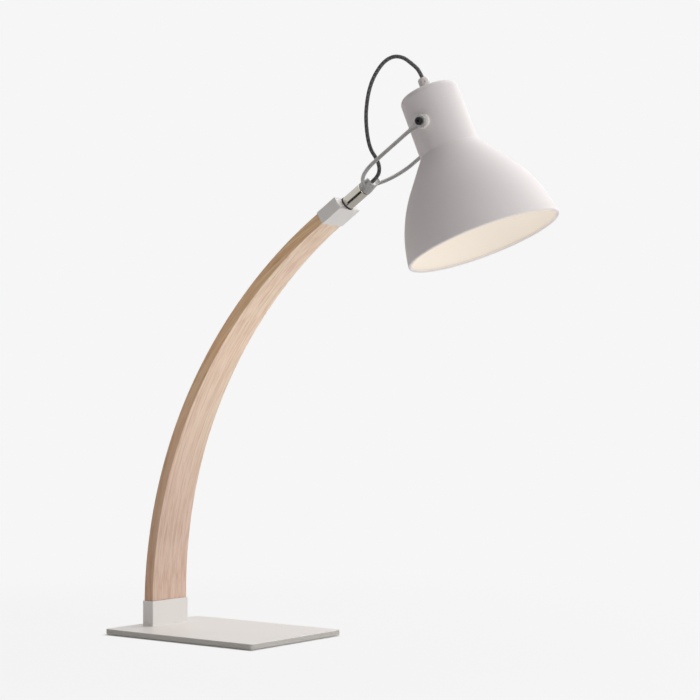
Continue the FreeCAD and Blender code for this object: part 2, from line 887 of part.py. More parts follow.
def make_yoke_leg(name, side):
    """A bent wire that leaves the block at a splay and ends in an eye forged flat."""
    body = new_body(name, yoke_frame)
    splay = size.wire_splay_angle
    half = size.yoke_half_width
    bend = size.wire_bend_radius
    spread = half - size.wire_socket_offset - bend * (1 - cosine(splay))
    knee_y = size.wire_socket_offset + spread
    knee_z = size.wire_socket_height + spread / tangent(splay)
    wire_end = size.yoke_reach - (size.eye_diameter - size.eye_thickness) / 2
    path = new_sketch(body, "YZ")
    draw_path(path, [
        (size.wire_socket_offset * side, size.wire_socket_height), (knee_y * side, knee_z),
        (half * side, knee_z + bend * sine(splay)), (half * side, wire_end)],
        {1: bend * side})
    ring = wire_ring(body, side, size.wire_diameter / 2)
    feature(body, "AdditivePipe", ring, Spine=(path, []))
    eye = new_sketch(body, "XZ", size.eye_thickness / 2 - half * side)
    draw_circle(eye, 0, size.yoke_reach, size.eye_diameter / 2)
    pad(body, eye, size.eye_thickness, Reversed=True)
    for face, inward in ((eye_inner, side), (eye_outer, -side)):
        flat = new_sketch(body, "XZ", -face * side)
        draw_circle(flat, 0, size.yoke_reach, size.eye_diameter / 2)
        pocket(body, flat, size.wire_diameter, Reversed=inward > 0)
    hole = new_sketch(body, "XZ", -half * side)
    draw_circle(hole, 0, size.yoke_reach, size.pivot_shank / 2 + size.running_gap)
    pocket(body, hole, size.wire_diameter * 2, Midplane=True)


# ---------------------------------------------------------------- shade

bell_top_z = size.bell_radius * (sine(size.shoulder_slope_angle) - sine(size.rim_slope_angle)) \
    - size.rim_drop
bell_top_radius = size.rim_radius \
    - size.bell_radius * (cosine(size.rim_slope_angle) - cosine(size.shoulder_slope_angle))
neck_foot_z = bell_top_z \
    + (bell_top_radius - size.neck_foot_radius) / tangent(size.shoulder_slope_angle)
neck_round_z = size.neck_rise - size.neck_round
grip_frame = head_frame.multiply(
    Placement(Vector(), Rotation(z_axis, size.grip_screw_angle.number)))


def neck_radius_at(height):
    """The neck's outer radius at a height in the head frame."""
    share = (height - neck_foot_z) / (neck_round_z - neck_foot_z)
    return size.neck_foot_radius + (size.neck_top_radius - size.neck_foot_radius) * share


def make_shade():
    """A spun shell with a hemmed rim, a hole on top and two pivot holes."""
    body = new_body("shade", head_frame)
    wall = size.shade_wall
    slope = size.shoulder_slope_angle
    corner = size.neck_round
    top = size.neck_rise
    rim_z = -size.rim_drop
    hole = size.nipple_diameter / 2
    inner_bell = size.bell_radius - wall
    centre_r = size.rim_radius - size.bell_radius * cosine(size.rim_slope_angle)
    centre_z = rim_z - size.bell_radius * sine(size.rim_slope_angle)
    hem_top = rim_z + size.hem_height
    lift = hem_top - centre_z
    hem_outer = centre_r + root(inner_bell * inner_bell - lift * lift)
    hem_inner = hem_outer - size.hem_width
    turn(body, [
        (size.rim_radius, rim_z),
        (bell_top_radius, bell_top_z),
        (size.neck_foot_radius, neck_foot_z),
        (size.neck_top_radius, neck_round_z),
        (size.neck_top_radius - corner, top),
        (hole, top),
        (hole, top - wall),
        (size.neck_top_radius - corner, top - wall),
        (size.neck_top_radius - wall, neck_round_z),
        (size.neck_foot_radius - wall, neck_foot_z - wall * tangent(slope / 2)),
        (bell_top_radius - wall * cosine(slope), bell_top_z - wall * sine(slope)),
        (hem_outer, hem_top),
        (hem_inner, hem_top - size.hem_width),
        (hem_inner, rim_z),
    ], {0: size.bell_radius, 3: corner, 7: wall - corner, 10: -inner_bell})
    pivots = new_sketch(body, "XZ")
    draw_circle(pivots, 0, 0, size.pivot_shank / 2)
    pocket(body, pivots)


# ---------------------------------------------------------------- pivots

spacer_end = eye_inner - size.friction_thickness


def make_pivot_spacers():
    """Round distance pieces whose inner ends are hollowed to sit on the neck."""
    body = new_body("pivot_spacer", near_side)
    outer = size.spacer_diameter / 2
    turn_ring(body, size.pivot_shank / 2, outer, neck_radius_at(0) - outer / 2, spacer_end,
              size.spacer_bevel)
    neck = new_sketch(body, "XY")
    draw_outline(neck, [(0, -outer), (neck_radius_at(-outer), -outer),
                        (neck_radius_at(outer), outer), (0, outer)])
    cut(body, "Groove", neck, ReferenceAxis=(neck, ["V_Axis"]), Angle=360)
    both_sides("pivot_spacers", body, head_frame)


def make_friction_washers():
    body = new_body("friction_washer", near_side)
    turn_ring(body, size.pivot_shank / 2, size.friction_diameter / 2, spacer_end, eye_inner)
    both_sides("friction_washers", body, head_frame)


def make_pivot_screws():
    """Low-head socket screws that pinch the eyes against the spacers."""
    body = new_body("pivot_screw", near_side)
    shank = size.pivot_shank / 2
    head = size.pivot_head / 2
    bevel = size.pivot_bevel
    end = eye_outer - size.pivot_length
    face = eye_outer + size.pivot_head_height
    turn(body, [(0, end), (shank - bevel, end), (shank, end + bevel), (shank, eye_outer),
                (head, eye_outer), (head, face - bevel), (head - bevel, face), (0, face)])
    socket = new_sketch(body, "XY", face)
    draw_hexagon(socket, size.pivot_key)
    pocket(body, socket, size.pivot_key_depth)
    both_sides("pivot_screws", body, head_frame)


def make_lock_nuts():
    """Nuts inside the neck, drawn up until their corners meet the curved wall."""
    body = new_body("lock_nut", near_side)
    corner = size.nut_flats / 2 / cosine(Size(30))
    inside = neck_radius_at(0) - size.shade_wall
    seat = root(inside * inside - corner * corner) - size.seat_gap
    blank = new_sketch(body, "XY", seat - size.nut_height)
    draw_hexagon(blank, size.nut_flats)
    pad(body, blank, size.nut_height)
    bore = new_sketch(body, "XY", seat)
    draw_circle(bore, 0, 0, size.pivot_shank / 2)
    pocket(body, bore)
    both_sides("lock_nuts", body, head_frame)


# ---------------------------------------------------------------- cord grip and cable

grip_top = size.neck_rise + size.grip_height


def make_cord_grip():
    """A domed nut on the nipple, bored for the cable and cross-tapped for its screw."""
    body = new_body("cord_grip", grip_frame)
    bore = size.cable_diameter / 2 + size.running_gap
    socket = size.nipple_diameter / 2
    outer = size.grip_diameter / 2
    dome = size.grip_dome
    web = size.neck_rise + size.nipple_rise
    turn(body, [(socket, size.neck_rise), (outer, size.neck_rise), (outer, grip_top - dome),
                (outer - dome, grip_top), (bore, grip_top), (bore, web), (socket, web)],
         {2: dome})
    cross = new_sketch(body, "YZ", outer)
    draw_circle(cross, 0, size.neck_rise + size.grip_screw_height,
                size.grip_screw_diameter / 2)
    pocket(body, cross, outer - bore)


def make_grip_screw():
    """A grub screw that holds the cable in the grip."""
    outer = size.grip_diameter / 2
    height = size.neck_rise + size.grip_screw_height
    frame = grip_frame.multiply(Placement(
        Vector(outer.number, 0, height.number), Rotation(y_axis, 90)))
    body = new_body("grip_screw", frame)
    radius = size.grip_screw_diameter / 2
    end = size.cable_diameter / 2 + size.running_gap - outer
    turn(body, [(0, end), (radius, end), (radius, -size.grip_screw_recess),
                (0, -size.grip_screw_recess)])
    socket = new_sketch(body, "XY", -size.grip_screw_recess)
    draw_hexagon(socket, radius)
    pocket(body, socket, radius)


def head_axis_point(height):
    """A point up the shade's axis as (away, along) in the cable's plane."""
    tip = lean_end + size.tilt_rest_angle
    return height * sine(tip), size.yoke_reach + height * cosine(tip)


def bend_route(name, corners):
    """Turn a chain of corners into tangent points with the bend that leaves each."""
    points = [corners[0]]
    bends = {}
    radii = []
    for before, corner, after in zip(corners, corners[1:], corners[2:]):
        a, b, c = [Vector(*[as_size(value).number for value in p], 0)
                   for p in (before, corner, after)]
        arrive = b - a
        leave = c - b
        half_turn = arrive.getAngle(leave) / 2
        setback = BEND_SHARE * min(arrive.Length, leave.Length)
        radius = setback / math.tan(half_turn)
        left = arrive.cross(leave).z > 0
        start = b - arrive.normalize() * setback
        end = b + leave.normalize() * setback
        bends[len(points)] = Size(radius if left else -radius)
        radii.append(round(radius, 1))
        points.extend([(start.x, start.y), (end.x, end.y)])
    points.append(corners[-1])
    print(name, "radii", radii)
    return points, bends


# The share of the shorter run that a bend takes up on each side of its corner.
BEND_SHARE = 0.45


def make_cable_loop():
    """The textile flex that rises from the block, arches over and drops into the grip.

    Its corners are (away from the shade's side of the stem, along the stem).
    """
    body = new_body("cable_loop", yoke_frame)
    corners = [
        (0, spigot_end + size.running_gap), (0, 42), (4.7, 48.8), (13.7, 51.5),
        (26.3, 50.7), (42, 55.7), (59.9, 67.2), (75.6, 85), (83.5, 105), (81.9, 119.7),
        (73.5, 129.2), (61.4, 133.9), head_axis_point(grip_top + size.cable_rise),
        head_axis_point(grip_top - size.cable_entry)]
    points, bends = bend_route("cable_loop", [(-away, along) for away, along in corners])
    path = new_sketch(body, "XZ")
    draw_path(path, points, bends)
    ring = new_sketch(body, "XY", corners[0][1])
    draw_circle(ring, 0, 0, size.cable_diameter / 2)
    feature(body, "AdditivePipe", ring, Spine=(path, []))


# ---------------------------------------------------------------- lampholder

neck_ceiling = size.neck_rise - size.shade_wall
cap_top = neck_ceiling - size.nipple_nut_height
cap_foot = cap_top - size.cap_height
nipple_radius = size.nipple_diameter / 2
holder_radius = size.holder_diameter / 2
lap_outer = holder_radius - size.holder_wall - size.running_gap
lap_inner = lap_outer - size.holder_wall
disc_foot = cap_foot + size.skirt_lap - size.disc_depth


def make_holder_nipple():
    body = new_body("holder_nipple", head_frame)
    turn_ring(body, size.nipple_bore / 2, nipple_radius, size.neck_rise - size.nipple_drop,
              size.neck_rise + size.nipple_rise)


def make_nipple_nut():
    body = new_body("nipple_nut", head_frame)
    blank = new_sketch(body, "XY", cap_top)
    draw_hexagon(blank, size.nipple_nut_flats)
    pad(body, blank, size.nipple_nut_height)
    bore = new_sketch(body, "XY", neck_ceiling)
    draw_circle(bore, 0, 0, nipple_radius)
    pocket(body, bore)


def make_holder_cap():
    """The holder's upper half: a cup that hangs on the nipple, open below."""
    body = new_body("holder_cap", head_frame)
    wall = size.holder_wall
    neck = size.cap_neck_radius
    shoulder = cap_top - size.cap_shoulder
    turn(body, [
        (nipple_radius, cap_top), (nipple_radius, cap_top - wall),
        (neck - wall, cap_top - wall), (holder_radius - wall, shoulder),
        (holder_radius - wall, cap_foot), (holder_radius, cap_foot),
        (holder_radius, shoulder), (neck, cap_top)])


def make_holder_skirt():
    """The holder's lower half, screwed into the cap, with a ledge for the disc."""
    body = new_body("holder_skirt", head_frame)
    low = cap_foot - size.skirt_height
    ledge = lap_inner - size.ledge_width
    turn(body, [
        (ledge, low), (holder_radius, low), (holder_radius, cap_foot), (lap_outer, cap_foot),
        (lap_outer, cap_foot + size.skirt_lap), (lap_inner, cap_foot + size.skirt_lap),
        (lap_inner, disc_foot), (ledge, disc_foot)])


def make_contact_base():
    """The insulating disc on the skirt's ledge, with two holes for the wires."""
    body = new_body("contact_base", head_frame)
    blank = new_sketch(body, "XY", disc_foot)
    draw_circle(blank, 0, 0, lap_inner - size.running_gap)
    pad(body, blank, size.disc_height)
    holes = new_sketch(body, "XY", disc_foot)
    for side in (-1, 1):
        draw_circle(holes, 0, size.contact_reach * side, size.wire_hole / 2)
    pocket(body, holes)


def make_screw_shell():
    """The sleeve that takes the lamp's thread, flanged under the disc."""
    body = new_body("screw_shell", head_frame)
    inner = size.shell_radius
    outer = inner + size.shell_wall
    flange = lap_inner - size.ledge_width - size.running_gap
    turn(body, [
        (inner, disc_foot - size.shell_height), (outer, disc_foot - size.shell_height),
        (outer, disc_foot - size.shell_wall), (flange, disc_foot - size.shell_wall),
        (flange, disc_foot), (inner, disc_foot)])


def make_centre_contact():
    """A spring strip fixed under the disc and bent down to meet the lamp's tip."""
    body = new_body("centre_contact", head_frame)
    reach = size.contact_reach
    drop = size.contact_drop
    thick = size.contact_thickness
    half = size.contact_width / 2
    strip = new_sketch(body, "XZ")
    draw_outline(strip, [
        (-reach, disc_foot), (-reach, disc_foot - thick), (-half - thick, disc_foot - thick),
        (-half, disc_foot - drop - thick), (half, disc_foot - drop - thick),
        (half, disc_foot - drop), (-half + thick, disc_foot - drop), (-half, disc_foot)])
    pad(body, strip, size.contact_width, Midplane=True)


# ---------------------------------------------------------------- build and write

make_base_plate()
make_base_pad()
make_foot_ferrule()
make_base_screws()
make_cord_inlet()
make_wood_arm()
make_inner_lead()
make_top_ferrule()
make_ferrule_screws()
make_stem_washer()
make_stem()
make_swivel_washer()
make_yoke_block()
make_swivel_screw()
make_yoke_leg("yoke_leg_near", -1)
make_yoke_leg("yoke_leg_far", 1)
make_cable_loop()
make_shade()
make_pivot_spacers()
make_friction_washers()
make_pivot_screws()
make_lock_nuts()
make_cord_grip()
make_grip_screw()
make_holder_nipple()
make_nipple_nut()
make_holder_cap()
make_holder_skirt()
make_contact_base()
make_screw_shell()
make_centre_contact()
doc.recompute()

NODES = [
    "base_plate", "base_pad", "foot_ferrule", "base_screws", "cord_inlet", "wood_arm",
    "inner_lead", "top_ferrule", "ferrule_screws", "stem_washer", "stem", "swivel_washer",
    "yoke_block", "swivel_screw", "yoke_leg_near", "yoke_leg_far", "cable_loop", "shade",
    "pivot_spacers", "friction_washers", "pivot_screws", "lock_nuts", "cord_grip",
    "grip_screw", "holder_nipple", "nipple_nut", "holder_cap", "holder_skirt",
    "contact_base", "screw_shell", "centre_contact",
]

for item in doc.Objects:
    if "Invalid" in item.State or "Error" in item.State:
        raise RuntimeError("%s is not well: %s" % (item.Label, item.State))

os.makedirs("parts", exist_ok=True)
for name in NODES:
    shape = doc.getObject(name).Shape
    if shape.isNull() or not shape.isValid():
        raise RuntimeError("%s has no good shape" % name)
    shape.exportStep("parts/%s.step" % name)
    print("%-17s %d solid(s) %10.1f mm3" % (name, len(shape.Solids), shape.Volume))
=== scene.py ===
# %% [markdown]
# # A bent-ash desk lamp
#
# The lamp is made of three bodies: a stand with a bent wooden arm, a wire yoke that swivels on
# the arm's end, and a head that tilts in the yoke. The engineering model comes in first. Its
# pieces already have the right place and size, so each cell below either gives one of them a
# real finish or swaps it for a piece with finer shape.

# %% Load the engineering model
import json
import math

import bpy
from mathutils import Matrix, Vector


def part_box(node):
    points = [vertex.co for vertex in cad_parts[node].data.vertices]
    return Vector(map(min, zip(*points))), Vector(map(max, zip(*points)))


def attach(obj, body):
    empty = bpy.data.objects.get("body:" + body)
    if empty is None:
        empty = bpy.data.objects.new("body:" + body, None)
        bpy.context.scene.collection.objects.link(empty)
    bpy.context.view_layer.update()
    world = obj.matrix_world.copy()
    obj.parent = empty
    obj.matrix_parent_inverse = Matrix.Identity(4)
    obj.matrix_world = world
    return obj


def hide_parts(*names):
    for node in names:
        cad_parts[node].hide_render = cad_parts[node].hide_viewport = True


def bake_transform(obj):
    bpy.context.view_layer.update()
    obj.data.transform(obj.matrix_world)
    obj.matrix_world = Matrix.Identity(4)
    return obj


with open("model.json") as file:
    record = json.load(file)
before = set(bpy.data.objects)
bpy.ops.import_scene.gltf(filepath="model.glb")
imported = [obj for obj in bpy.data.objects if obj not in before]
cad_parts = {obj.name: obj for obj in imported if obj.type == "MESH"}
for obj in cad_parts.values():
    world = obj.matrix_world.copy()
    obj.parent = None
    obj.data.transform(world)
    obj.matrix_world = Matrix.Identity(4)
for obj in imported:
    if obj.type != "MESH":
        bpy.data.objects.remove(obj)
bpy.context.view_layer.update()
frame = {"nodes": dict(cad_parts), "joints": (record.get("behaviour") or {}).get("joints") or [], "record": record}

MM = 0.001
joints = {joint["name"]: joint for joint in frame["joints"]}
print("nodes:", len(frame["nodes"]), "joints:", sorted(joints))

# %% [markdown]
# The yoke and the head lean in space, so their pieces are easiest to model upright at the
# origin and then set in place with a matrix. The two joints already say where they belong: the
# swivel's axis runs up the stem, and the tilt's axis runs through the pivot screws.

# %% Frames of the yoke and the head
LEAN = 57.5
TILT = 20.5
head_lean = math.radians(LEAN + TILT)


def frame_of(x, y, z, origin):
    """A matrix whose columns are three axes and an origin."""
    matrix = Matrix((x, y, z)).transposed().to_4x4()
    matrix.translation = origin
    return matrix


swivel_point = Vector(joints["head_swivel"]["pos_m"])
stem_axis = Vector(joints["head_swivel"]["axis"]).normalized()
pivot_point = Vector(joints["head_tilt"]["pos_m"])
pivot_axis = Vector(joints["head_tilt"]["axis"]).normalized()

yoke_frame = frame_of(pivot_axis.cross(stem_axis), pivot_axis, stem_axis, swivel_point)
head_up = Matrix.Rotation(-head_lean, 3, pivot_axis) @ stem_axis
head_frame = frame_of(pivot_axis.cross(head_up), pivot_axis, head_up, pivot_point)
YOKE_REACH = (pivot_point - swivel_point).length / MM
print("yoke reach %.1f mm, shade axis" % YOKE_REACH, [round(v, 3) for v in head_up])

# %% [markdown]
# The camera stands low in front of the lamp and looks slightly up through a long lens, which
# keeps the plate's edges nearly parallel. A camera looks along its own -Z, so its matrix is
# built from the view direction, the picture's right and the picture's up.

# %% Camera
VIEW_TURN = math.radians(37.0756)
VIEW_RISE = math.radians(1.6272)
CAMERA_PLACE = Vector((1.17259, -1.34289, 0.23199))
LENS = 92.02

look = Vector((-math.sin(VIEW_TURN) * math.cos(VIEW_RISE),
               math.cos(VIEW_TURN) * math.cos(VIEW_RISE), math.sin(VIEW_RISE)))
picture_right = Vector((math.cos(VIEW_TURN), math.sin(VIEW_TURN), 0))
picture_up = picture_right.cross(look)

camera_data = bpy.data.cameras.new("camera")
camera_data.sensor_width = 36
camera_data.lens = LENS
camera_data.clip_end = 50
camera = bpy.data.objects.new("camera", camera_data)
camera.matrix_world = frame_of(picture_right, picture_up, -look, CAMERA_PLACE)
bpy.context.scene.collection.objects.link(camera)
bpy.context.scene.camera = camera
print("camera looks along", [round(v, 3) for v in look])

# %% [markdown]
# The cable is a limp textile flex. It leaves the yoke's block, arches over the joint with room
# to spare, and drops into the grip on top of the shade. Its line is one NURBS curve through a
# few control points, which gives the even bends that a flex takes. The points lie in the
# yoke's own plane: how far they stand off the stem, and how far they are along it.

# %% The cable's line
GRIP_TOP = 0.0452
CABLE_RISE = 0.007
CABLE_ENTRY = 0.0035


def above_shade(height):
    """A point on the shade's axis, in the cable's plane."""
    return height * math.sin(head_lean), YOKE_REACH * MM + height * math.cos(head_lean)


cable_points = [
    (0, 0.0321), (0, 0.042), (0.0047, 0.0488), (0.0137, 0.0515), (0.026, 0.0507),
    (0.0415, 0.0569), (0.0588, 0.0681), (0.0751, 0.0857), (0.0824, 0.1053), (0.0812, 0.1194),
    (0.0732, 0.1287), (0.0613, 0.133), above_shade(GRIP_TOP + CABLE_RISE),
    above_shade(GRIP_TOP - CABLE_ENTRY)]

cable_curve = bpy.data.curves.new("cable_line", "CURVE")
cable_curve.dimensions = "3D"
cable_curve.resolution_u = 24
spline = cable_curve.splines.new("NURBS")
spline.points.add(len(cable_points) - 1)
for point, (away, along) in zip(spline.points, cable_points):
    point.co = (*(yoke_frame @ Vector((-away, 0, along))), 1)
spline.order_u = 3
spline.use_endpoint_u = True
cable_line = bpy.data.objects.new("cable_line", cable_curve)
bpy.context.scene.collection.objects.link(cable_line)
read_out = bpy.data.meshes.new_from_object(cable_line)
cable_path = [vertex.co.copy() for vertex in read_out.vertices]
bpy.data.meshes.remove(read_out)
bpy.data.objects.remove(cable_line)
bpy.data.curves.remove(cable_curve)

# %% [markdown]
# The sleeve round the flex is braided from two sets of yarns that cross each other. The tube
# is a ring of points carried along the line without twisting. Each ring is pushed in and out a
# little where yarns lie over each other, so that the outline is woven and not smooth. A UV map
# keeps two numbers for the finish: once round the tube, and metres along it.

# %% Braided tube
CABLE_DIAMETER = 3.7 * MM
YARNS = 8
BRAID_PITCH = 9 * MM
RING_POINTS = 32
RING_STEP = 0.6 * MM
YARN_RELIEF = 0.12 * MM


def even_points(path, step):
    """Points at an even spacing along a line."""
    lengths = [0]
    for a, b in zip(path, path[1:]):
        lengths.append(lengths[-1] + (b - a).length)
    count = round(lengths[-1] / step)
    points = []
    leg = 0
    for index in range(count + 1):
        distance = lengths[-1] * index / count
        while leg < len(path) - 2 and lengths[leg + 1] < distance:
            leg += 1
        share = (distance - lengths[leg]) / (lengths[leg + 1] - lengths[leg])
        points.append(path[leg].lerp(path[leg + 1], share))
    return points


def yarn_height(turn, along):
    """How high the braid stands, 0 to 1, at a share of a turn and metres along."""
    waves = [math.cos(2 * math.pi * (turn * YARNS + way * along * YARNS / BRAID_PITCH))
             for way in (1, -1)]
    return 0.5 + 0.5 * max(waves)


def braided_tube(name, path):
    """A tube round a path, with the braid's relief and a UV map along it."""
    spine = even_points(path, RING_STEP)
    side = pivot_axis.copy()
    points, faces, places = [], [], []
    travelled = 0
    for index, centre in enumerate(spine):
        before = spine[max(index - 1, 0)]
        after = spine[min(index + 1, len(spine) - 1)]
        ahead = (after - before).normalized()
        side = (side - ahead * side.dot(ahead)).normalized()
        other = ahead.cross(side)
        if index:
            travelled += (centre - spine[index - 1]).length
        for step in range(RING_POINTS):
            turn = step / RING_POINTS
            radius = CABLE_DIAMETER / 2 - YARN_RELIEF * (1 - yarn_height(turn, travelled))
            angle = 2 * math.pi * turn
            points.append(centre + radius * (math.cos(angle) * side + math.sin(angle) * other))
        places.append(travelled)
    for ring in range(len(spine) - 1):
        for step in range(RING_POINTS):
            low = ring * RING_POINTS
            high = low + RING_POINTS
            follow = (step + 1) % RING_POINTS
            faces.append((low + step, low + follow, high + follow, high + step))
    faces.append(tuple(range(RING_POINTS - 1, -1, -1)))
    last = (len(spine) - 1) * RING_POINTS
    faces.append(tuple(range(last, last + RING_POINTS)))
    mesh = bpy.data.meshes.new(name)
    mesh.from_pydata(points, [], faces)
    uv = mesh.uv_layers.new(name="braid")
    for polygon in mesh.polygons:
        steps = [mesh.loops[i].vertex_index % RING_POINTS for i in polygon.loop_indices]
        wraps = 0 in steps and RING_POINTS - 1 in steps and len(steps) == 4
        for loop_index, step in zip(polygon.loop_indices, steps):
            ring = mesh.loops[loop_index].vertex_index // RING_POINTS
            turn = 1 if wraps and step == 0 else step / RING_POINTS
            uv.data[loop_index].uv = (turn, places[ring])
    mesh.shade_smooth()
    tube = bpy.data.objects.new(name, mesh)
    bpy.context.scene.collection.objects.link(tube)
    return tube


cable = braided_tube("braided_cable", cable_path)
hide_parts("cable_loop")
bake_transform(cable)
print("tube faces:", len(cable.data.polygons))

# %% [markdown]
# A few small helpers follow, because the same moves come again and again: open a new primitive,
# extrude, close it with clean normals, apply a modifier, and set the finished piece in its
# frame. Applying the matrix puts the place into the mesh, so that the object itself stays at
# the origin.

# %% Helpers for modelling
def deselect():
    """Leave edit mode and let go of every object."""
    if bpy.context.object and bpy.context.object.mode != "OBJECT":
        bpy.ops.object.mode_set(mode="OBJECT")
    bpy.ops.object.select_all(action="DESELECT")


def choose(piece):
    """Make a piece the only selected and active one."""
    deselect()
    piece.select_set(True)
    bpy.context.view_layer.objects.active = piece


def open_piece(name):
    """Name the primitive just added and open it in edit mode with all of it selected."""
    piece = bpy.context.object
    piece.name = name
    piece.data.name = name
    bpy.ops.object.mode_set(mode="EDIT")
    bpy.ops.mesh.select_mode(type="VERT")
    bpy.ops.mesh.select_all(action="SELECT")
    return piece


def close_piece(merge=0.0):
    """Merge points nearer than so many millimetres, turn the faces outward, end editing."""
    bpy.ops.mesh.select_all(action="SELECT")
    if merge:
        bpy.ops.mesh.remove_doubles(threshold=merge * MM)
    bpy.ops.mesh.normals_make_consistent(inside=False)
    bpy.ops.object.mode_set(mode="OBJECT")


def extrude(move):
    """Extrude what is selected and carry it along a move in metres."""
    bpy.ops.mesh.extrude_region_move(TRANSFORM_OT_translate={"value": move})


def apply_modifier(piece, kind, **settings):
    """Add a modifier to a piece, set it up and apply it."""
    choose(piece)
    modifier = piece.modifiers.new(kind.lower(), kind)
    for name, value in settings.items():
        setattr(modifier, name, value)
    bpy.ops.object.modifier_apply(modifier=modifier.name)


def soften(piece, width, angle=35):
    """Round every edge sharper than an angle in degrees, by a width in millimetres."""
    apply_modifier(piece, "BEVEL", width=width * MM, segments=3, limit_method="ANGLE",
                   angle_limit=math.radians(angle))


def settle(piece, place=Matrix(), smooth=40):
    """Put a piece in its frame, apply that to the mesh and shade it."""
    choose(piece)
    piece.matrix_world = place @ piece.matrix_world
    bpy.ops.object.transform_apply(location=True, rotation=True, scale=True)
    bpy.ops.object.shade_smooth_by_angle(angle=math.radians(smooth))
    print("%-18s %6d faces" % (piece.name, len(piece.data.polygons)))


def stand_for(piece, body, node):
    """Hide the node that a piece stands for, and hang the piece on the body that it rides on."""
    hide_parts(node)
    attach(piece, body)


# %% [markdown]
# The shade and the eyes of the yoke are round, and the same move makes both: a single point is
# extruded along half of the outline, and the outline is spun once round. The first and last
# ring then lie on each other, so doubles are merged and the normals are made to point out.

# %% Turning
def drawn_line(name, corners):
    """Start a piece, in edit mode, as one line through some points."""
    deselect()
    bpy.ops.mesh.primitive_plane_add(size=MM)
    piece = open_piece(name)
    bpy.ops.mesh.merge(type="CENTER")
    bpy.ops.transform.translate(value=corners[0])
    for here, there in zip(corners, corners[1:]):
        extrude(there - here)
    return piece


def turned(name, profile, steps):
    """Spin a closed half outline of (radius, height) in millimetres about Z."""
    corners = [Vector((radius, 0, height)) * MM for radius, height in profile]
    piece = drawn_line(name, corners + corners[:1])
    bpy.ops.mesh.select_all(action="SELECT")
    bpy.ops.mesh.spin(steps=steps, angle=2 * math.pi, center=(0, 0, 0), axis=(0, 0, 1))
    close_piece(merge=0.001)
    return piece


def sweep(centre, radius, first, last, count):
    """Points of an arc in an outline, from one angle to another in degrees."""
    angles = [math.radians(first + (last - first) * i / count) for i in range(count + 1)]
    return [(centre[0] + radius * math.cos(a), centre[1] + radius * math.sin(a))
            for a in angles]


# %% [markdown]
# The shade is spun from one disc of aluminium: a straight neck with a rounded top, a shoulder,
# and a bell that flares to the rim. Its outline is drawn outside and inside, with the rim
# rolled into a small bead, and spun in fine steps so that the highlight runs smoothly. The
# inside is a second finish on the same piece, given to the faces that look at the axis. The
# rolled rim is masked when the inside is sprayed, so its underside keeps the outer white.

# %% Shade
RIM_RADIUS, RIM_DROP = 72, 118
BELL_RADIUS, RIM_SLOPE, SHOULDER_SLOPE = 131, 5.7, 36.3
NECK_FOOT = (27.8, -27.0)
NECK_TOP, NECK_RISE, NECK_ROUND = 27.5, 31.7, 6.5
NIPPLE_HOLE = 4
WALL = 1.2
BEAD = 1.5
BEAD_TURN = 1.2                     # degrees of the bell that the bead takes up
CREASE_RUN = 0.9                    # how far down the shoulder the crease begins
CREASE_ROUND = [(0.12, 0.1), (-0.01, 0.8)]      # its other points, from the neck's foot
FACES_AXIS, FACES_DOWN = 0.95, -0.5

bell_centre = (RIM_RADIUS - BELL_RADIUS * math.cos(math.radians(RIM_SLOPE)),
               -RIM_DROP - BELL_RADIUS * math.sin(math.radians(RIM_SLOPE)))
round_centre = (NECK_TOP - NECK_ROUND, NECK_RISE - NECK_ROUND)
bead_centre = (RIM_RADIUS - BEAD, BEAD - RIM_DROP)


def shade_outline():
    """Outside from the rim to the top, then inside from the top back to the rim."""
    slope = math.radians(SHOULDER_SLOPE)
    foot_radius, foot_height = NECK_FOOT
    rim_turn = RIM_SLOPE + BEAD_TURN
    points = sweep(bead_centre, BEAD, -90, RIM_SLOPE, 5)[:-1]
    points += sweep(bell_centre, BELL_RADIUS, rim_turn, SHOULDER_SLOPE, 36)
    points.append((foot_radius + CREASE_RUN * math.sin(slope),
                   foot_height - CREASE_RUN * math.cos(slope)))
    points += [(foot_radius + out, foot_height + up) for out, up in CREASE_ROUND]
    points += sweep(round_centre, NECK_ROUND, 0, 90, 10)
    points += [(NIPPLE_HOLE, NECK_RISE), (NIPPLE_HOLE, NECK_RISE - WALL)]
    points += sweep(round_centre, NECK_ROUND - WALL, 90, 0, 8)
    points.append((foot_radius - WALL, foot_height - WALL * math.tan(slope / 2)))
    points += sweep(bell_centre, BELL_RADIUS - WALL, SHOULDER_SLOPE, rim_turn, 36)
    points += sweep(bead_centre, BEAD, 150, 270, 6)[:-1]
    return points


shade = turned("spun_shade", shade_outline(), steps=160)


def looks_inward(face):
    """True on the inside of the wall, but not on the underside of the rolled rim."""
    inward = -face.normal.dot(Vector((face.center.x, face.center.y, 0)).normalized())
    if face.center.z < (2 * BEAD - RIM_DROP) * MM:
        return inward > FACES_AXIS
    below_top = face.center.z < (NECK_RISE - WALL / 2) * MM
    return below_top and (inward > 0 or face.normal.z < FACES_DOWN)


inside_faces = [looks_inward(face) for face in shade.data.polygons]
settle(shade, head_frame, smooth=30)
stand_for(shade, "head", "shade")
print("inside faces:", sum(inside_faces))

# %% [markdown]
# The arm is a board of ash, steamed and bent. It is modelled as it is made: a flat section is
# swept round two long arcs, each side is sawn away along a straight plane so that the board
# tapers, and the long edges are eased. Each saw cut is closed by one long face, which is then
# divided into short ones, because the grain drawn on it has to follow the bend. The board is
# wider and thicker than the mouths of the ferrules, so its ends sit on their rims.

# %% Arm
FOOT_X, FOOT_MOUTH = -77, 31
ARM_THICKNESS, FOOT_WIDTH, TIP_WIDTH = 11.6, 50.4, 29.4
LOW_RADIUS, LOW_SWEEP = 427, 30.8
HIGH_RADIUS, HIGH_SWEEP = 467, 26.7
UNSAWN = 1.2                        # the board's width before it is sawn, in foot widths
ARC_STEPS = 40


def off_centre(lean):
    """The way from an arc's centre to where the board leans by so many degrees."""
    return Vector((-math.cos(math.radians(lean)), 0, math.sin(math.radians(lean))))


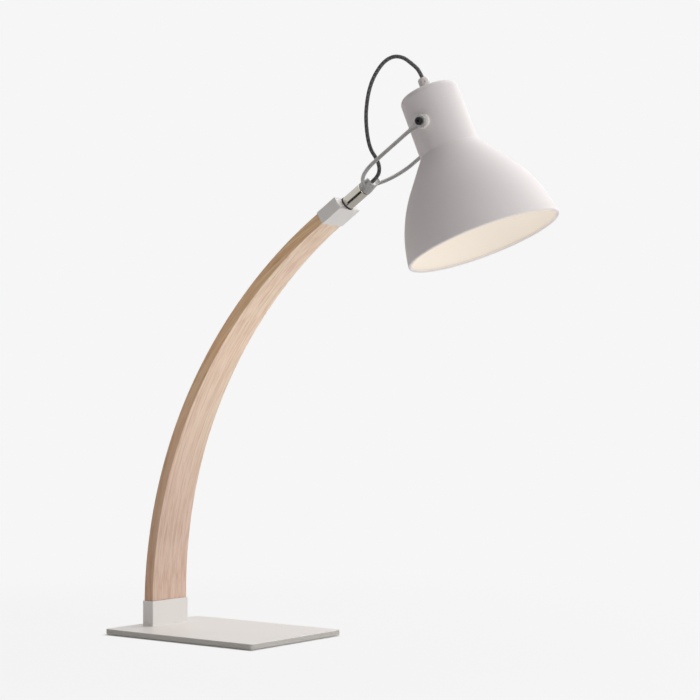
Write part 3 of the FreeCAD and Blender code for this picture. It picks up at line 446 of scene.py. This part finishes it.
arm_foot = Vector((FOOT_X, 0, FOOT_MOUTH))
low_centre = arm_foot + Vector((LOW_RADIUS, 0, 0))
high_centre = low_centre + off_centre(LOW_SWEEP) * (LOW_RADIUS - HIGH_RADIUS)
arm_tip = high_centre + off_centre(LOW_SWEEP + HIGH_SWEEP) * HIGH_RADIUS

deselect()
bpy.ops.mesh.primitive_plane_add(size=MM, location=arm_foot * MM)
arm = open_piece("ash_arm")
bpy.ops.transform.resize(value=(ARM_THICKNESS, FOOT_WIDTH * UNSAWN, 1))
for swept, centre in ((LOW_SWEEP, low_centre), (HIGH_SWEEP, high_centre)):
    bpy.ops.mesh.spin(steps=ARC_STEPS, angle=math.radians(swept), center=centre * MM,
                      axis=(0, -1, 0))
bpy.ops.object.mode_set(mode="OBJECT")
print("arm from %.1f up to %.1f mm" % (arm_foot.z, arm_tip.z))

# %% Taper the arm
chord = arm_tip - arm_foot
taper = (FOOT_WIDTH - TIP_WIDTH) / 2 / chord.length
choose(arm)
bpy.ops.object.mode_set(mode="EDIT")
for side in (-1, 1):
    bpy.ops.mesh.select_all(action="SELECT")
    saw_cut = Vector((0, side, 0)) + chord.normalized() * taper
    bpy.ops.mesh.bisect(
        plane_co=(arm_foot + Vector((0, side * FOOT_WIDTH / 2, 0))) * MM,
        plane_no=saw_cut.normalized(), use_fill=True, clear_outer=True)
    bpy.ops.mesh.quads_convert_to_tris(ngon_method="BEAUTY")
bpy.ops.mesh.select_all(action="SELECT")
bpy.ops.mesh.tris_convert_to_quads()
close_piece()
soften(arm, 0.8)
widths = [abs(vertex.co.y) / MM for vertex in arm.data.vertices]
print("arm half width from %.1f to %.1f mm" % (max(widths), min(widths)))

# %% [markdown]
# Wood grain follows the board round its bend. Each point of the board therefore keeps three
# lengths in metres: across it, along it, and through it. The finish reads them, and so the
# grain bends with the arm. They are taken while the mesh is still measured from the arm's
# foot, which puts the middle of the rings 83 mm off the middle of the bend. The streaks then
# run out of the board slowly, as they do where a board isn't cut dead along the trunk.
# The two sawn sides are marked too, because they take oil deeper than a planed face does.

# %% Grain directions on the arm
SAWN_FACING = 0.75                  # a face that looks this far sideways was sawn


def board_place(point):
    """Across, along and through the board, in metres, for a point seen from its foot."""
    flat = Vector((point.x, 0, point.z)) / MM
    from_low = flat - low_centre
    angle = math.atan2(from_low.z, -from_low.x)
    if angle <= math.radians(LOW_SWEEP):
        return point.y, LOW_RADIUS * angle * MM, (LOW_RADIUS - from_low.length) * MM
    from_high = flat - high_centre
    turned_by = math.atan2(from_high.z, -from_high.x) - math.radians(LOW_SWEEP)
    along = LOW_RADIUS * math.radians(LOW_SWEEP) + HIGH_RADIUS * turned_by
    return point.y, along * MM, (HIGH_RADIUS - from_high.length) * MM


grain = arm.data.attributes.new("grain_place", "FLOAT_VECTOR", "POINT")
for vertex, record in zip(arm.data.vertices, grain.data):
    record.vector = board_place(vertex.co)
sawn = arm.data.attributes.new("sawn_side", "FLOAT", "FACE")
for face, record in zip(arm.data.polygons, sawn.data):
    record.value = 1.0 if abs(face.normal.y) > SAWN_FACING else 0.0
settle(arm)
stand_for(arm, "stand", "wood_arm")

# %% [markdown]
# The yoke's block is a small casting: round where it turns on the stem, then drawn out into a
# flat fishtail that takes the two wires. It starts as a ring, which is extruded upwards in
# steps, and at each step it is made wider one way and thinner the other. A shallow scoop is
# cut across the top with a Boolean, and the edges are rounded as a casting's are.

# %% Yoke block
BLOCK_FOOT, BLOCK_TOP, BLOCK_RADIUS = 23.9, 38.0, 6.4
BLOCK_STEPS = [                     # height, half depth, half width
    (24.3, 6.8, 6.8), (26.3, 6.8, 6.8), (28.0, 6.55, 7.3), (30.0, 5.9, 8.4),
    (32.0, 5.2, 9.4), (34.0, 4.6, 10.1), (36.4, 4.3, 10.5), (37.6, 4.2, 10.6), (38.0, 3.8, 10.2)]
SCOOP_RADIUS, SCOOP_DEPTH, SCOOP_LENGTH = 15, 2.6, 30

deselect()
bpy.ops.mesh.primitive_circle_add(vertices=48, radius=BLOCK_RADIUS * MM, fill_type="NGON",
                                  location=(0, 0, BLOCK_FOOT * MM))
block = open_piece("fishtail_block")
depth_now, width_now, height_now = BLOCK_RADIUS, BLOCK_RADIUS, BLOCK_FOOT
for height, half_depth, half_width in BLOCK_STEPS:
    extrude((0, 0, (height - height_now) * MM))
    bpy.ops.transform.resize(value=(half_depth / depth_now, half_width / width_now, 1),
                             center_override=(0, 0, height * MM))
    depth_now, width_now, height_now = half_depth, half_width, height
close_piece()

bpy.ops.mesh.primitive_cylinder_add(
    vertices=96, radius=SCOOP_RADIUS * MM, depth=SCOOP_LENGTH * MM,
    rotation=(0, math.pi / 2, 0),
    location=(0, 0, (BLOCK_TOP + SCOOP_RADIUS - SCOOP_DEPTH) * MM))
scoop = bpy.context.object
apply_modifier(block, "BOOLEAN", object=scoop, operation="DIFFERENCE")
bpy.data.objects.remove(scoop)
soften(block, 0.7, angle=40)
settle(block, yoke_frame, smooth=50)
stand_for(block, "yoke", "yoke_block")

# %% [markdown]
# Each leg of the yoke is a steel wire, bent once and hammered flat at its end into an eye.
# The wire starts as a filled ring near the eye. It is extruded down to the bend, spun round the
# bend's centre, and pushed on into the block. Towards the eye it gets wider and thinner, as
# forged wire does. The eye is turned, joined on, and the second leg is a mirrored copy.

# %% Yoke legs
WIRE_DIAMETER = 3.6
HALF_YOKE = 33
BEND_RADIUS, BEND_TURN = 35.7, 60
BEND_HEIGHT = 65.51
INTO_BLOCK = 9.6
FORGING_STARTS = 111.5
FORGED = [(117.4, 1.35, 0.72), (121.0, 1.4, 0.9)]     # height, wider by, thinner by
EYE_RADIUS, EYE_THICKNESS, EYE_HOLE, EYE_ROUND = 5.7, 2.6, 4.1, 0.5

deselect()
bpy.ops.mesh.primitive_circle_add(vertices=24, radius=WIRE_DIAMETER / 2 * MM,
                                  fill_type="NGON",
                                  location=(0, HALF_YOKE * MM, FORGING_STARTS * MM))
far_leg = open_piece("yoke_wire_far")
extrude((0, 0, (BEND_HEIGHT - FORGING_STARTS) * MM))
splay = math.radians(BEND_TURN)
# Spin turns against the right-hand rule, so about +X the wire bends in towards the block.
bpy.ops.mesh.spin(steps=24, angle=splay, axis=(1, 0, 0),
                  center=(0, (HALF_YOKE - BEND_RADIUS) * MM, BEND_HEIGHT * MM))
extrude(Vector((0, -math.sin(splay), -math.cos(splay))) * INTO_BLOCK * MM)

# The forging goes on from the ring it all started as, which is level with the object's origin.
bpy.ops.mesh.select_all(action="DESELECT")
bpy.ops.mesh.select_mode(type="FACE")
bpy.ops.object.mode_set(mode="OBJECT")
for face in far_leg.data.polygons:
    face.select = face.center.z > -0.1 * MM and abs(face.normal.z) > 0.9
bpy.ops.object.mode_set(mode="EDIT")
forged_to = FORGING_STARTS
for height, wider, thinner in FORGED:
    extrude((0, 0, (height - forged_to) * MM))
    bpy.ops.transform.resize(value=(wider, thinner, 1),
                             center_override=(0, HALF_YOKE * MM, height * MM))
    forged_to = height
close_piece(merge=0.001)
heights = [(far_leg.matrix_world @ vertex.co).z / MM for vertex in far_leg.data.vertices]
print("wire from %.1f up to %.1f mm" % (min(heights), max(heights)))

# %% Eyes, and the second leg
half_eye = EYE_THICKNESS / 2
eye = turned("eye", [
    (EYE_HOLE / 2, -half_eye), (EYE_RADIUS - EYE_ROUND, -half_eye),
    (EYE_RADIUS, EYE_ROUND - half_eye), (EYE_RADIUS, half_eye - EYE_ROUND),
    (EYE_RADIUS - EYE_ROUND, half_eye), (EYE_HOLE / 2, half_eye)], steps=64)
eye.matrix_world = (Matrix.Translation(Vector((0, HALF_YOKE, YOKE_REACH)) * MM)
                    @ Matrix.Rotation(math.radians(90), 4, "X"))
choose(far_leg)
eye.select_set(True)
bpy.ops.object.join()

choose(far_leg)
bpy.ops.object.duplicate()
near_leg = bpy.context.object
near_leg.name = near_leg.data.name = "yoke_wire_near"
bpy.ops.object.mode_set(mode="EDIT")
bpy.ops.mesh.select_all(action="SELECT")
bpy.ops.transform.mirror(constraint_axis=(False, True, False), center_override=(0, 0, 0))
close_piece()
for leg, node in ((far_leg, "yoke_leg_far"), (near_leg, "yoke_leg_near")):
    settle(leg, yoke_frame, smooth=35)
    stand_for(leg, "yoke", node)

# %% [markdown]
# Anyone who looks up into the shade sees the lampholder. Its shell is thin brass, rolled into a
# coarse rounded thread. One pitch of the thread is a short wavy line. The Screw modifier turns
# that line round the axis and lifts it by one pitch each turn, so that the turns join up into
# the whole thread. Both ends are cut square, and Solidify gives the sheet its thickness.

# %% Threaded shell
THREAD_PITCH, THREAD_RADIUS, THREAD_DEPTH = 3.62, 13.7, 0.5
THREAD_STEPS, WAVE_POINTS = 64, 10
SHELL_MOUTH, SHELL_TOP = -20.8, 0.2
SHEET = 0.35

wave = [Vector((THREAD_RADIUS + THREAD_DEPTH * math.cos(2 * math.pi * i / WAVE_POINTS), 0,
                SHELL_MOUTH + (i / WAVE_POINTS - 1) * THREAD_PITCH)) * MM
        for i in range(WAVE_POINTS + 1)]
shell = drawn_line("threaded_shell", wave)
apply_modifier(shell, "SCREW", axis="Z", angle=2 * math.pi, screw_offset=THREAD_PITCH * MM,
               iterations=math.ceil((SHELL_TOP - SHELL_MOUTH) / THREAD_PITCH) + 2,
               steps=THREAD_STEPS, render_steps=THREAD_STEPS)

bpy.ops.object.mode_set(mode="EDIT")
for height, up in ((SHELL_MOUTH, -1), (SHELL_TOP, 1)):
    bpy.ops.mesh.select_all(action="SELECT")
    bpy.ops.mesh.bisect(plane_co=(0, 0, height * MM), plane_no=(0, 0, up), clear_outer=True)
close_piece(merge=0.01)
apply_modifier(shell, "SOLIDIFY", thickness=SHEET * MM, offset=0)
settle(shell, head_frame, smooth=50)
stand_for(shell, "head", "screw_shell")

# %% [markdown]
# The floor is a plain pale sheet. Where the camera looks at it, most of its brightness is its
# own, so that it meets the background without a line. Close to the lamp a part of it is lit
# like paper, which is what keeps the soft shadow. Under the plate it has no light of its own at
# all, so that the gap at the plate's edge is as dark as a real one.

# %% Nodes and colours
def tint(code):
    """Turn an sRGB hex value into linear red, green, blue and alpha."""
    channels = [int(code[i:i + 2], 16) / 255 for i in (0, 2, 4)]
    linear = [c / 12.92 if c <= 0.04045 else ((c + 0.055) / 1.055) ** 2.4 for c in channels]
    return (*linear, 1)


def add_node(tree, kind, inputs=None, **settings):
    """Add a shader node, make its settings, and set or link its inputs."""
    node = tree.nodes.new("ShaderNode" + kind)
    for name, value in settings.items():
        setattr(node, name, value)
    for name, value in (inputs or {}).items():
        if isinstance(value, bpy.types.NodeSocket):
            tree.links.new(value, node.inputs[name])
        else:
            node.inputs[name].default_value = value
    return node


def maths(tree, operation, *values, clamp=False):
    """What a Math node makes of one, two or three values."""
    return add_node(tree, "Math", dict(enumerate(values)), operation=operation,
                    use_clamp=clamp).outputs[0]


def ramp(tree, value, low, high, start=0.0, end=1.0, curve="LINEAR"):
    """Spread a value between two limits over another range, and hold it at the ends."""
    return add_node(tree, "MapRange", {"Value": value, "From Min": low, "From Max": high,
                                       "To Min": start, "To Max": end},
                    interpolation_type=curve).outputs[0]


def noise(tree, place, scale, detail, roughness=0.5):
    """A cloudy pattern from 0 to 1."""
    return add_node(tree, "TexNoise", {"Vector": place, "Scale": scale, "Detail": detail,
                                       "Roughness": roughness}).outputs["Fac"]


def blended(tree, share, first, second, mode="MIX"):
    """Two colours mixed by a share, or the second multiplied in by it."""
    return add_node(tree, "Mix", {0: share, 6: first, 7: second}, data_type="RGBA",
                    blend_type=mode).outputs[2]


def bump(tree, height, strength, depth, **settings):
    """Relief of a depth in millimetres, for a shader's Normal."""
    return add_node(tree, "Bump", {"Height": height, "Strength": strength,
                                   "Distance": depth * MM}, **settings).outputs[0]


def object_place(tree):
    """The point being shaded, in the object's own metres."""
    return add_node(tree, "TexCoord").outputs["Object"]


def empty_tree(owner):
    """Give a material or a world a node tree with nothing in it."""
    owner.use_nodes = True
    owner.node_tree.nodes.clear()
    return owner.node_tree


PAPER = tint("F6F6F6")


def glowing(tree, strength):
    """Paper that sends out its own colour."""
    return add_node(tree, "Emission", {"Color": PAPER, "Strength": strength}).outputs[0]


def seen_directly(tree):
    """1 where the camera, a reflection or a clear surface looks straight at something."""
    rays = add_node(tree, "LightPath").outputs
    total = maths(tree, "ADD", rays["Is Camera Ray"], rays["Is Glossy Ray"])
    return maths(tree, "ADD", total, rays["Is Transmission Ray"], clamp=True)


# %% Floor
FLOOR_SIZE = 12
SHADOW_SHARE = 0.08
FLOOR_BOUNCE = 0.06
SHADOW_NEAR, SHADOW_FAR = 0.25, 0.7
CONTACT_FROM, CONTACT_REACH = -0.5 * MM, 4 * MM
plate_high = Vector(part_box("base_plate")[1])

deselect()
bpy.ops.mesh.primitive_plane_add(size=FLOOR_SIZE)
floor = open_piece("floor")
bpy.ops.mesh.subdivide(number_cuts=3)
bpy.ops.object.mode_set(mode="OBJECT")
floor_paper = bpy.data.materials.new("matt white backdrop paper")
tree = empty_tree(floor_paper)
place = object_place(tree)
reach = add_node(tree, "VectorMath", {0: place}, operation="LENGTH").outputs["Value"]
fade = ramp(tree, reach, SHADOW_NEAR, SHADOW_FAR, 1 - SHADOW_SHARE, 1, "SMOOTHSTEP")
spot = add_node(tree, "SeparateXYZ", {0: place}).outputs
beyond = [maths(tree, "SUBTRACT", maths(tree, "ABSOLUTE", spot[axis]), half_size)
          for axis, half_size in (("X", plate_high.x), ("Y", plate_high.y))]
contact = ramp(tree, maths(tree, "MAXIMUM", *beyond), CONTACT_FROM, CONTACT_REACH,
               curve="SMOOTHSTEP")
pale_share = maths(tree, "MULTIPLY", fade, contact)
own_share = maths(tree, "MULTIPLY", pale_share, seen_directly(tree))
lit = add_node(tree, "BsdfDiffuse", {"Color": PAPER}).outputs[0]
paper_mix = add_node(tree, "MixShader", {0: own_share, 1: lit, 2: glowing(tree, 1.0)})
unseen = maths(tree, "MULTIPLY_ADD", seen_directly(tree), -FLOOR_BOUNCE, FLOOR_BOUNCE)
paper_sum = add_node(tree, "AddShader", {0: paper_mix.outputs[0], 1: glowing(tree, unseen)})
add_node(tree, "OutputMaterial", {"Surface": paper_sum.outputs[0]})
floor.data.materials.append(floor_paper)

# %% [markdown]
# The light is a soft studio set: one large lamp well round to the right, one behind that rims
# the shade, a weaker one overhead, and a pale room that fills the shadow side. The right-hand
# lamp makes the broad face of the arm light and leaves its narrow side dark.

# %% World and lamps
ROOM_LIGHT = 0.16
ROOM_TINT = (1.0, 0.93, 0.92, 1)
LAMPS = [                           # name, place, power
    ("side", (2.52, 0.10, 1.19), 29),
    ("back", (0.51, 1.79, 2.14), 42),
    ("overhead", (0.13, -0.04, 2.90), 16),
]
LAMP_SIZE = 2.2
LAMP_MIDDLE = Vector((0.1, 0, 0.3))     # what they all point at

world = bpy.data.worlds.new("pale room")
bpy.context.scene.world = world
tree = empty_tree(world)
room = add_node(tree, "Background", {"Color": ROOM_TINT, "Strength": ROOM_LIGHT})
backdrop = add_node(tree, "Background", {"Color": PAPER, "Strength": 1.0})
world_mix = add_node(tree, "MixShader", {0: seen_directly(tree), 1: room.outputs[0],
                                         2: backdrop.outputs[0]})
add_node(tree, "OutputWorld", {"Surface": world_mix.outputs[0]})

for name, lamp_place, power in LAMPS:
    data = bpy.data.lights.new(name, "AREA")
    data.size = LAMP_SIZE
    data.energy = power
    lamp = bpy.data.objects.new(name, data)
    offset = Vector(lamp_place) - LAMP_MIDDLE
    turn = offset.normalized().to_track_quat("Z", "Y").to_matrix().to_4x4()
    lamp.matrix_world = Matrix.Translation(lamp_place) @ turn
    bpy.context.scene.collection.objects.link(lamp)
    print("%-9s %.1f m off, %g W" % (name, offset.length, power))

# %% [markdown]
# Polished metal has no look of its own: it shows the room. In a white room a nickel stem would
# be as flat as paper. In a studio, cards are laid round such a piece: here a dark one in front
# and a grey one below. Only reflections see them, so they neither shade nor light the lamp.

# %% Cards for the reflections
CARDS = [                           # name, middle, half sizes, brightness
    ("dark card", (-0.10, -0.77), (0.70, 0.42), 0.03),
    ("grey card", (0.05, 0.40), (0.60, 0.75), 0.70),
]
for name, middle, half_sizes, brightness in CARDS:
    deselect()
    bpy.ops.mesh.primitive_plane_add(size=2, location=(*middle, 0.5 * MM))
    card = open_piece(name.replace(" ", "_"))
    bpy.ops.transform.resize(value=(*half_sizes, 1), center_override=(*middle, 0))
    bpy.ops.object.mode_set(mode="OBJECT")
    card_glow = bpy.data.materials.new(name)
    tree = empty_tree(card_glow)
    add_node(tree, "OutputMaterial", {"Surface": glowing(tree, brightness)})
    card.data.materials.append(card_glow)
    card.visible_camera = card.visible_diffuse = card.visible_shadow = False
    card.visible_transmission = card.visible_volume_scatter = False
print("cards:", [name for name, *_ in CARDS])

# %% Colour management
bpy.context.scene.view_settings.view_transform = "Standard"

# %% [markdown]
# Every finish starts from what the real surface is, and its pattern is sized in millimetres.
# Most of this lamp is coated metal. Powder and lacquer level out while they are soft, which
# leaves a very fine orange peel, and the coat is never perfectly even in tone. So a coated
# surface gets a slow drift between two close colours and a low, fine bump.

# %% Coated metal
DRIFT = 60                          # mm from one tone of a coat to the next
# Painted light: how strongly the inside of the shade glows.
PAINTED_INSIDE_GLOW = 0.2
finishes = {}


def every(size):
    """Pattern scale that puts one feature in so many millimetres."""
    return 1 / (size * MM)


def new_finish(name, **sockets):
    """A material whose Principled shader has some sockets set directly."""
    material = bpy.data.materials.new(name)
    material.use_nodes = True
    shader = material.node_tree.nodes["Principled BSDF"]
    for socket, value in sockets.items():
        shader.inputs[socket.replace("_", " ")].default_value = value
    return material, material.node_tree, shader


def drive(tree, shader, **sockets):
    """Link patterns to a shader's sockets."""
    for socket, pattern in sockets.items():
        tree.links.new(pattern, shader.inputs[socket.replace("_", " ")])


def coated_metal(name, colour, deeper, roughness, peel, depth, gloss=0.5, upright_tone=None,
                 **sockets):
    """Lacquer or powder on metal: two close colours, an orange peel, and a darker tone on upright faces if one is
    given.
    """
    material, tree, shader = new_finish(name, Roughness=roughness, Specular_IOR_Level=gloss,
                                        **sockets)
    place = object_place(tree)
    colours = blended(tree, noise(tree, place, every(DRIFT), 3.0), tint(colour), tint(deeper))
    if upright_tone:
        normal = add_node(tree, "NewGeometry").outputs["Normal"]
        upright = maths(tree, "ABSOLUTE", add_node(tree, "SeparateXYZ", {0: normal}).outputs["Z"])
        colours = blended(tree, ramp(tree, upright, 0.2, 0.8), tint(upright_tone), colours)
    skin = noise(tree, place, every(peel), 2.0)
    drive(tree, shader, Base_Color=colours, Normal=bump(tree, skin, 0.6, depth))
    return material


# Epoxy powder, baked: a dry, even coat that scatters most of the light. The plate's upright faces, which are its
# edges, are drawn in a darker grey.
finishes["plate_paint"] = coated_metal("warm white powder coat on steel plate", "ECE8E5",
                                       "E7E3DE", 0.42, 1.1, 0.03, upright_tone="BBB8B2")
finishes["ferrule_paint"] = coated_metal("warm white powder coat on folded steel", "F0EDEA",
                                         "EBE8E4", 0.45, 1.1, 0.03)
# Sprayed matt lacquer: finer than powder, with almost no gloss. The inside also glows faintly: painted light that
# makes it brighter than the lamps leave it.
finishes["shade_paint"] = coated_metal("matt white lacquer on spun aluminium", "E9E5E4",
                                       "E6E1E0", 0.65, 1.4, 0.02, gloss=0.2)
finishes["shade_inside"] = coated_metal("warm cream lacquer inside the shade", "EEE7DE",
                                        "EBE3D8", 0.6, 1.4, 0.02, gloss=0.2,
                                        Emission_Color=tint("F6EFE6"),
                                        Emission_Strength=PAINTED_INSIDE_GLOW)
# Satin lacquer with a little metal powder in it, over bent wire and a die-cast block.
finishes["grey_paint"] = coated_metal("grey satin lacquer on steel", "B2B1AF", "A7A6A4",
                                      0.36, 0.9, 0.02, Metallic=0.35)
print("coated:", sorted(finishes))

# %% [markdown]
# Ash has open pores in bands: each year the tree makes a ring of wide pores and then dense wood. Cut along the
# trunk, the rings show as long streaks, and the pores as short dark scratches. Noises give this, stretched hard
# along the board and read from the lengths that were kept on the arm. Each one darkens the wood by multiplying its
# own colour in. Towards the tip the wood is drawn paler and warmer. The paler part is painted light, for the light
# that the upper arm catches. The oil adds little gloss and leaves the pores open.

# %% Ash
STREAKS = [     # name, mm across and along, detail, roughness, from, to, most, colour
    ("patches", 16, 90, 2.0, 0.5, 0.35, 0.65, 1.0, (1.0, 0.94, 0.95, 1)),
    ("rings", 2.6, 330, 2.0, 0.5, 0.42, 0.62, 1.0, (0.88, 0.82, 0.77, 1)),
    # Real pores are 0.3 mm wide. They are drawn wider, so that they show.
    ("pores", 1.4, 30, 3.0, 0.6, 0.5, 0.72, 0.65, (0.76, 0.66, 0.58, 1)),
]
FOOT_TONES, TIP_TONES = ("E2C9B7", "DBB79A"), ("FDE8CF", "FBD8AC")     # planed, sawn
# Painted light: between these two lengths along the arm, in metres, the wood turns paler.
PAINTED_LIGHT_FROM, PAINTED_LIGHT_TO = 0.05, 0.32

ash, tree, shader = new_finish("oiled ash", Roughness=0.5, Specular_IOR_Level=0.4)
board = add_node(tree, "Attribute", attribute_name="grain_place").outputs["Vector"]
sawn_side = add_node(tree, "Attribute", attribute_name="sawn_side").outputs["Fac"]
along_board = add_node(tree, "SeparateXYZ", {0: board}).outputs["Y"]
wood = blended(tree, ramp(tree, along_board, PAINTED_LIGHT_FROM, PAINTED_LIGHT_TO),
               *[blended(tree, sawn_side, tint(planed_tone), tint(sawn_tone))
                 for planed_tone, sawn_tone in (FOOT_TONES, TIP_TONES)])
for name, wide, long, detail, roughness, low, high, most, colour in STREAKS:
    stretch = add_node(tree, "Mapping", {"Vector": board, "Scale": (
        every(wide), every(long), every(wide))}, vector_type="POINT").outputs[0]
    streaks = noise(tree, stretch, 1.0, detail, roughness)
    wood = blended(tree, ramp(tree, streaks, low, high, end=most), wood, colour, "MULTIPLY")
    print("ash %s: %g mm across, %g mm along" % (name, wide, long))
# The last streaks are the pores, and they are sunk into the surface too.
drive(tree, shader, Base_Color=wood, Normal=bump(tree, streaks, 0.5, 0.12, invert=True))
finishes["ash"] = ash

# %% [markdown]
# The bare metals differ in how they were made. Nickel is plated over a polished tube, so it is
# a soft mirror. Zinc plate is duller, in pale clouds. Brass is left as it came off the lathe,
# and black oxide is a thin dark skin on steel that still shines like metal under its oil.

# %% Bare metals
def bare_metal(name, colour, deeper, roughness, rougher, cloud_size, metallic):
    """A metal whose colour and gloss drift together in small clouds."""
    material, tree, shader = new_finish(name, Metallic=metallic)
    cloud = noise(tree, object_place(tree), every(cloud_size), 4.0)
    drive(tree, shader, Base_Color=blended(tree, cloud, tint(colour), tint(deeper)),
          Roughness=ramp(tree, cloud, 0.0, 1.0, roughness, rougher))
    return material


for slot, *numbers in (
        ("nickel", "polished nickel plate", "C9C4BA", "BDB8AE", 0.12, 0.22, 6, 1.0),
        ("zinc", "clear zinc plate on steel", "BFC1C2", "A9ABAD", 0.3, 0.5, 3, 1.0),
        ("brass", "turned brass", "D2AE68", "C39B54", 0.22, 0.4, 5, 1.0),
        ("black_steel", "black oxide on steel", "2A2A2C", "1D1D1F", 0.28, 0.45, 2, 0.6)):
    finishes[slot] = bare_metal(*numbers)
    print("metal:", finishes[slot].name)

# %% [markdown]
# The moulded pieces are nylon, thermoplastic, rubber, ceramic and the flex's sheath. A mould
# leaves a faint texture, and each material scatters light its own way: nylon is milky and lets
# some light in, ceramic is hard and glossy, and rubber is dull and dusty.

# %% Moulded pieces
BLOOM = 12                          # mm from one paler patch to the next


def moulded(name, colour, worn, roughness, texture, depth, milky=0.0):
    """A moulded or fired piece: a faint texture, and a paler bloom in patches."""
    material, tree, shader = new_finish(name, Roughness=roughness, Subsurface_Weight=milky,
                                        Subsurface_Scale=1.5 * MM)
    place = object_place(tree)
    bloom = noise(tree, place, every(BLOOM), 4.0)
    drive(tree, shader, Base_Color=blended(tree, bloom, tint(colour), tint(worn)),
          Normal=bump(tree, noise(tree, place, every(texture), 2.0), 0.5, depth))
    return material


for slot, *numbers in (
        ("white_plastic", "white moulded nylon", "E3DEDC", "DCD6D4", 0.45, 0.8, 0.01, 0.1),
        ("bush", "off-white moulded nylon", "E8E5DD", "E0DCD3", 0.42, 0.8, 0.01),
        ("holder_black", "black thermoplastic", "1C1C1D", "29292A", 0.4, 1.0, 0.02),
        ("ceramic", "white glazed ceramic", "F0EDE6", "E8E4DC", 0.18, 2.5, 0.01),
        ("pad_rubber", "black rubber sheet", "232323", "303030", 0.8, 1.2, 0.08),
        ("washer_rubber", "black nitrile rubber", "2B2B2A", "3A3938", 0.6, 0.8, 0.02),
        ("lead_sheath", "grey silicone sheath", "D6D6D3", "CBCBC8", 0.5, 1.0, 0.02)):
    finishes[slot] = moulded(*numbers)
print("finishes so far:", len(finishes))

# %% [markdown]
# The flex is sleeved in a cotton braid: black yarns, with a white one here and there. The UV
# map on the tube gives the place round it and along it, so the two sets of yarns can be drawn
# as crossing stripes. A stripe shows only where its own set lies on top, so a white yarn comes
# and goes along the flex as it dives under the other set.

# %% Braided cotton
WHITE_SHARE = 0.2                   # how much of a turn a white yarn takes up
WHITE_YARNS = 2.0                   # in each of the two sets

braid_finish, tree, shader = new_finish("black and white cotton braid", Roughness=0.85,
                                        Sheen_Weight=0.4, Sheen_Roughness=0.5)
uv = add_node(tree, "UVMap", uv_map="braid")
split = add_node(tree, "SeparateXYZ", {0: uv.outputs[0]}).outputs
along = maths(tree, "MULTIPLY", split["Y"], 1 / BRAID_PITCH)
white = []
for one_way, other_way, on_top in (("ADD", "SUBTRACT", "LESS_THAN"),
                                   ("SUBTRACT", "ADD", "GREATER_THAN")):
    helix = maths(tree, "MULTIPLY", maths(tree, one_way, split["X"], along), WHITE_YARNS)
    stripe = maths(tree, "LESS_THAN", maths(tree, "FRACT", helix), WHITE_SHARE)
    crossing = maths(tree, "MULTIPLY", maths(tree, other_way, split["X"], along), YARNS / 2)
    shows = maths(tree, on_top, maths(tree, "FRACT", crossing), 0.5)
    white.append(maths(tree, "MULTIPLY", stripe, shows))
fluff = noise(tree, object_place(tree), every(0.9), 3.0)
black = blended(tree, fluff, tint("3E3D3F"), tint("545355"))
yarn = blended(tree, maths(tree, "MAXIMUM", *white), black, tint("7E7C7A"))
drive(tree, shader, Base_Color=yarn, Normal=bump(tree, fluff, 0.6, 0.15))
finishes["textile"] = braid_finish
print("braid: %d yarns, one turn in %.0f mm" % (2 * YARNS, BRAID_PITCH / MM))

# %% [markdown]
# Last, every piece gets its finish. The pieces made here are given theirs one by one, and the
# engineering model's own pieces take the finish of the slot that the record names for them.

# %% Give out the finishes
for piece, slot_name in ((shade, "shade_paint"), (arm, "ash"), (cable, "textile"),
                         (block, "grey_paint"), (far_leg, "grey_paint"),
                         (near_leg, "grey_paint"), (shell, "brass")):
    piece.data.materials.append(finishes[slot_name])
shade.data.materials.append(finishes["shade_inside"])
for face, is_inside in zip(shade.data.polygons, inside_faces):
    face.material_index = 1 if is_inside else 0

for row in frame["record"]["subparts"]:
    for holder in frame["nodes"][row["node"]].material_slots:
        holder.material = finishes[row["material_slot"]]
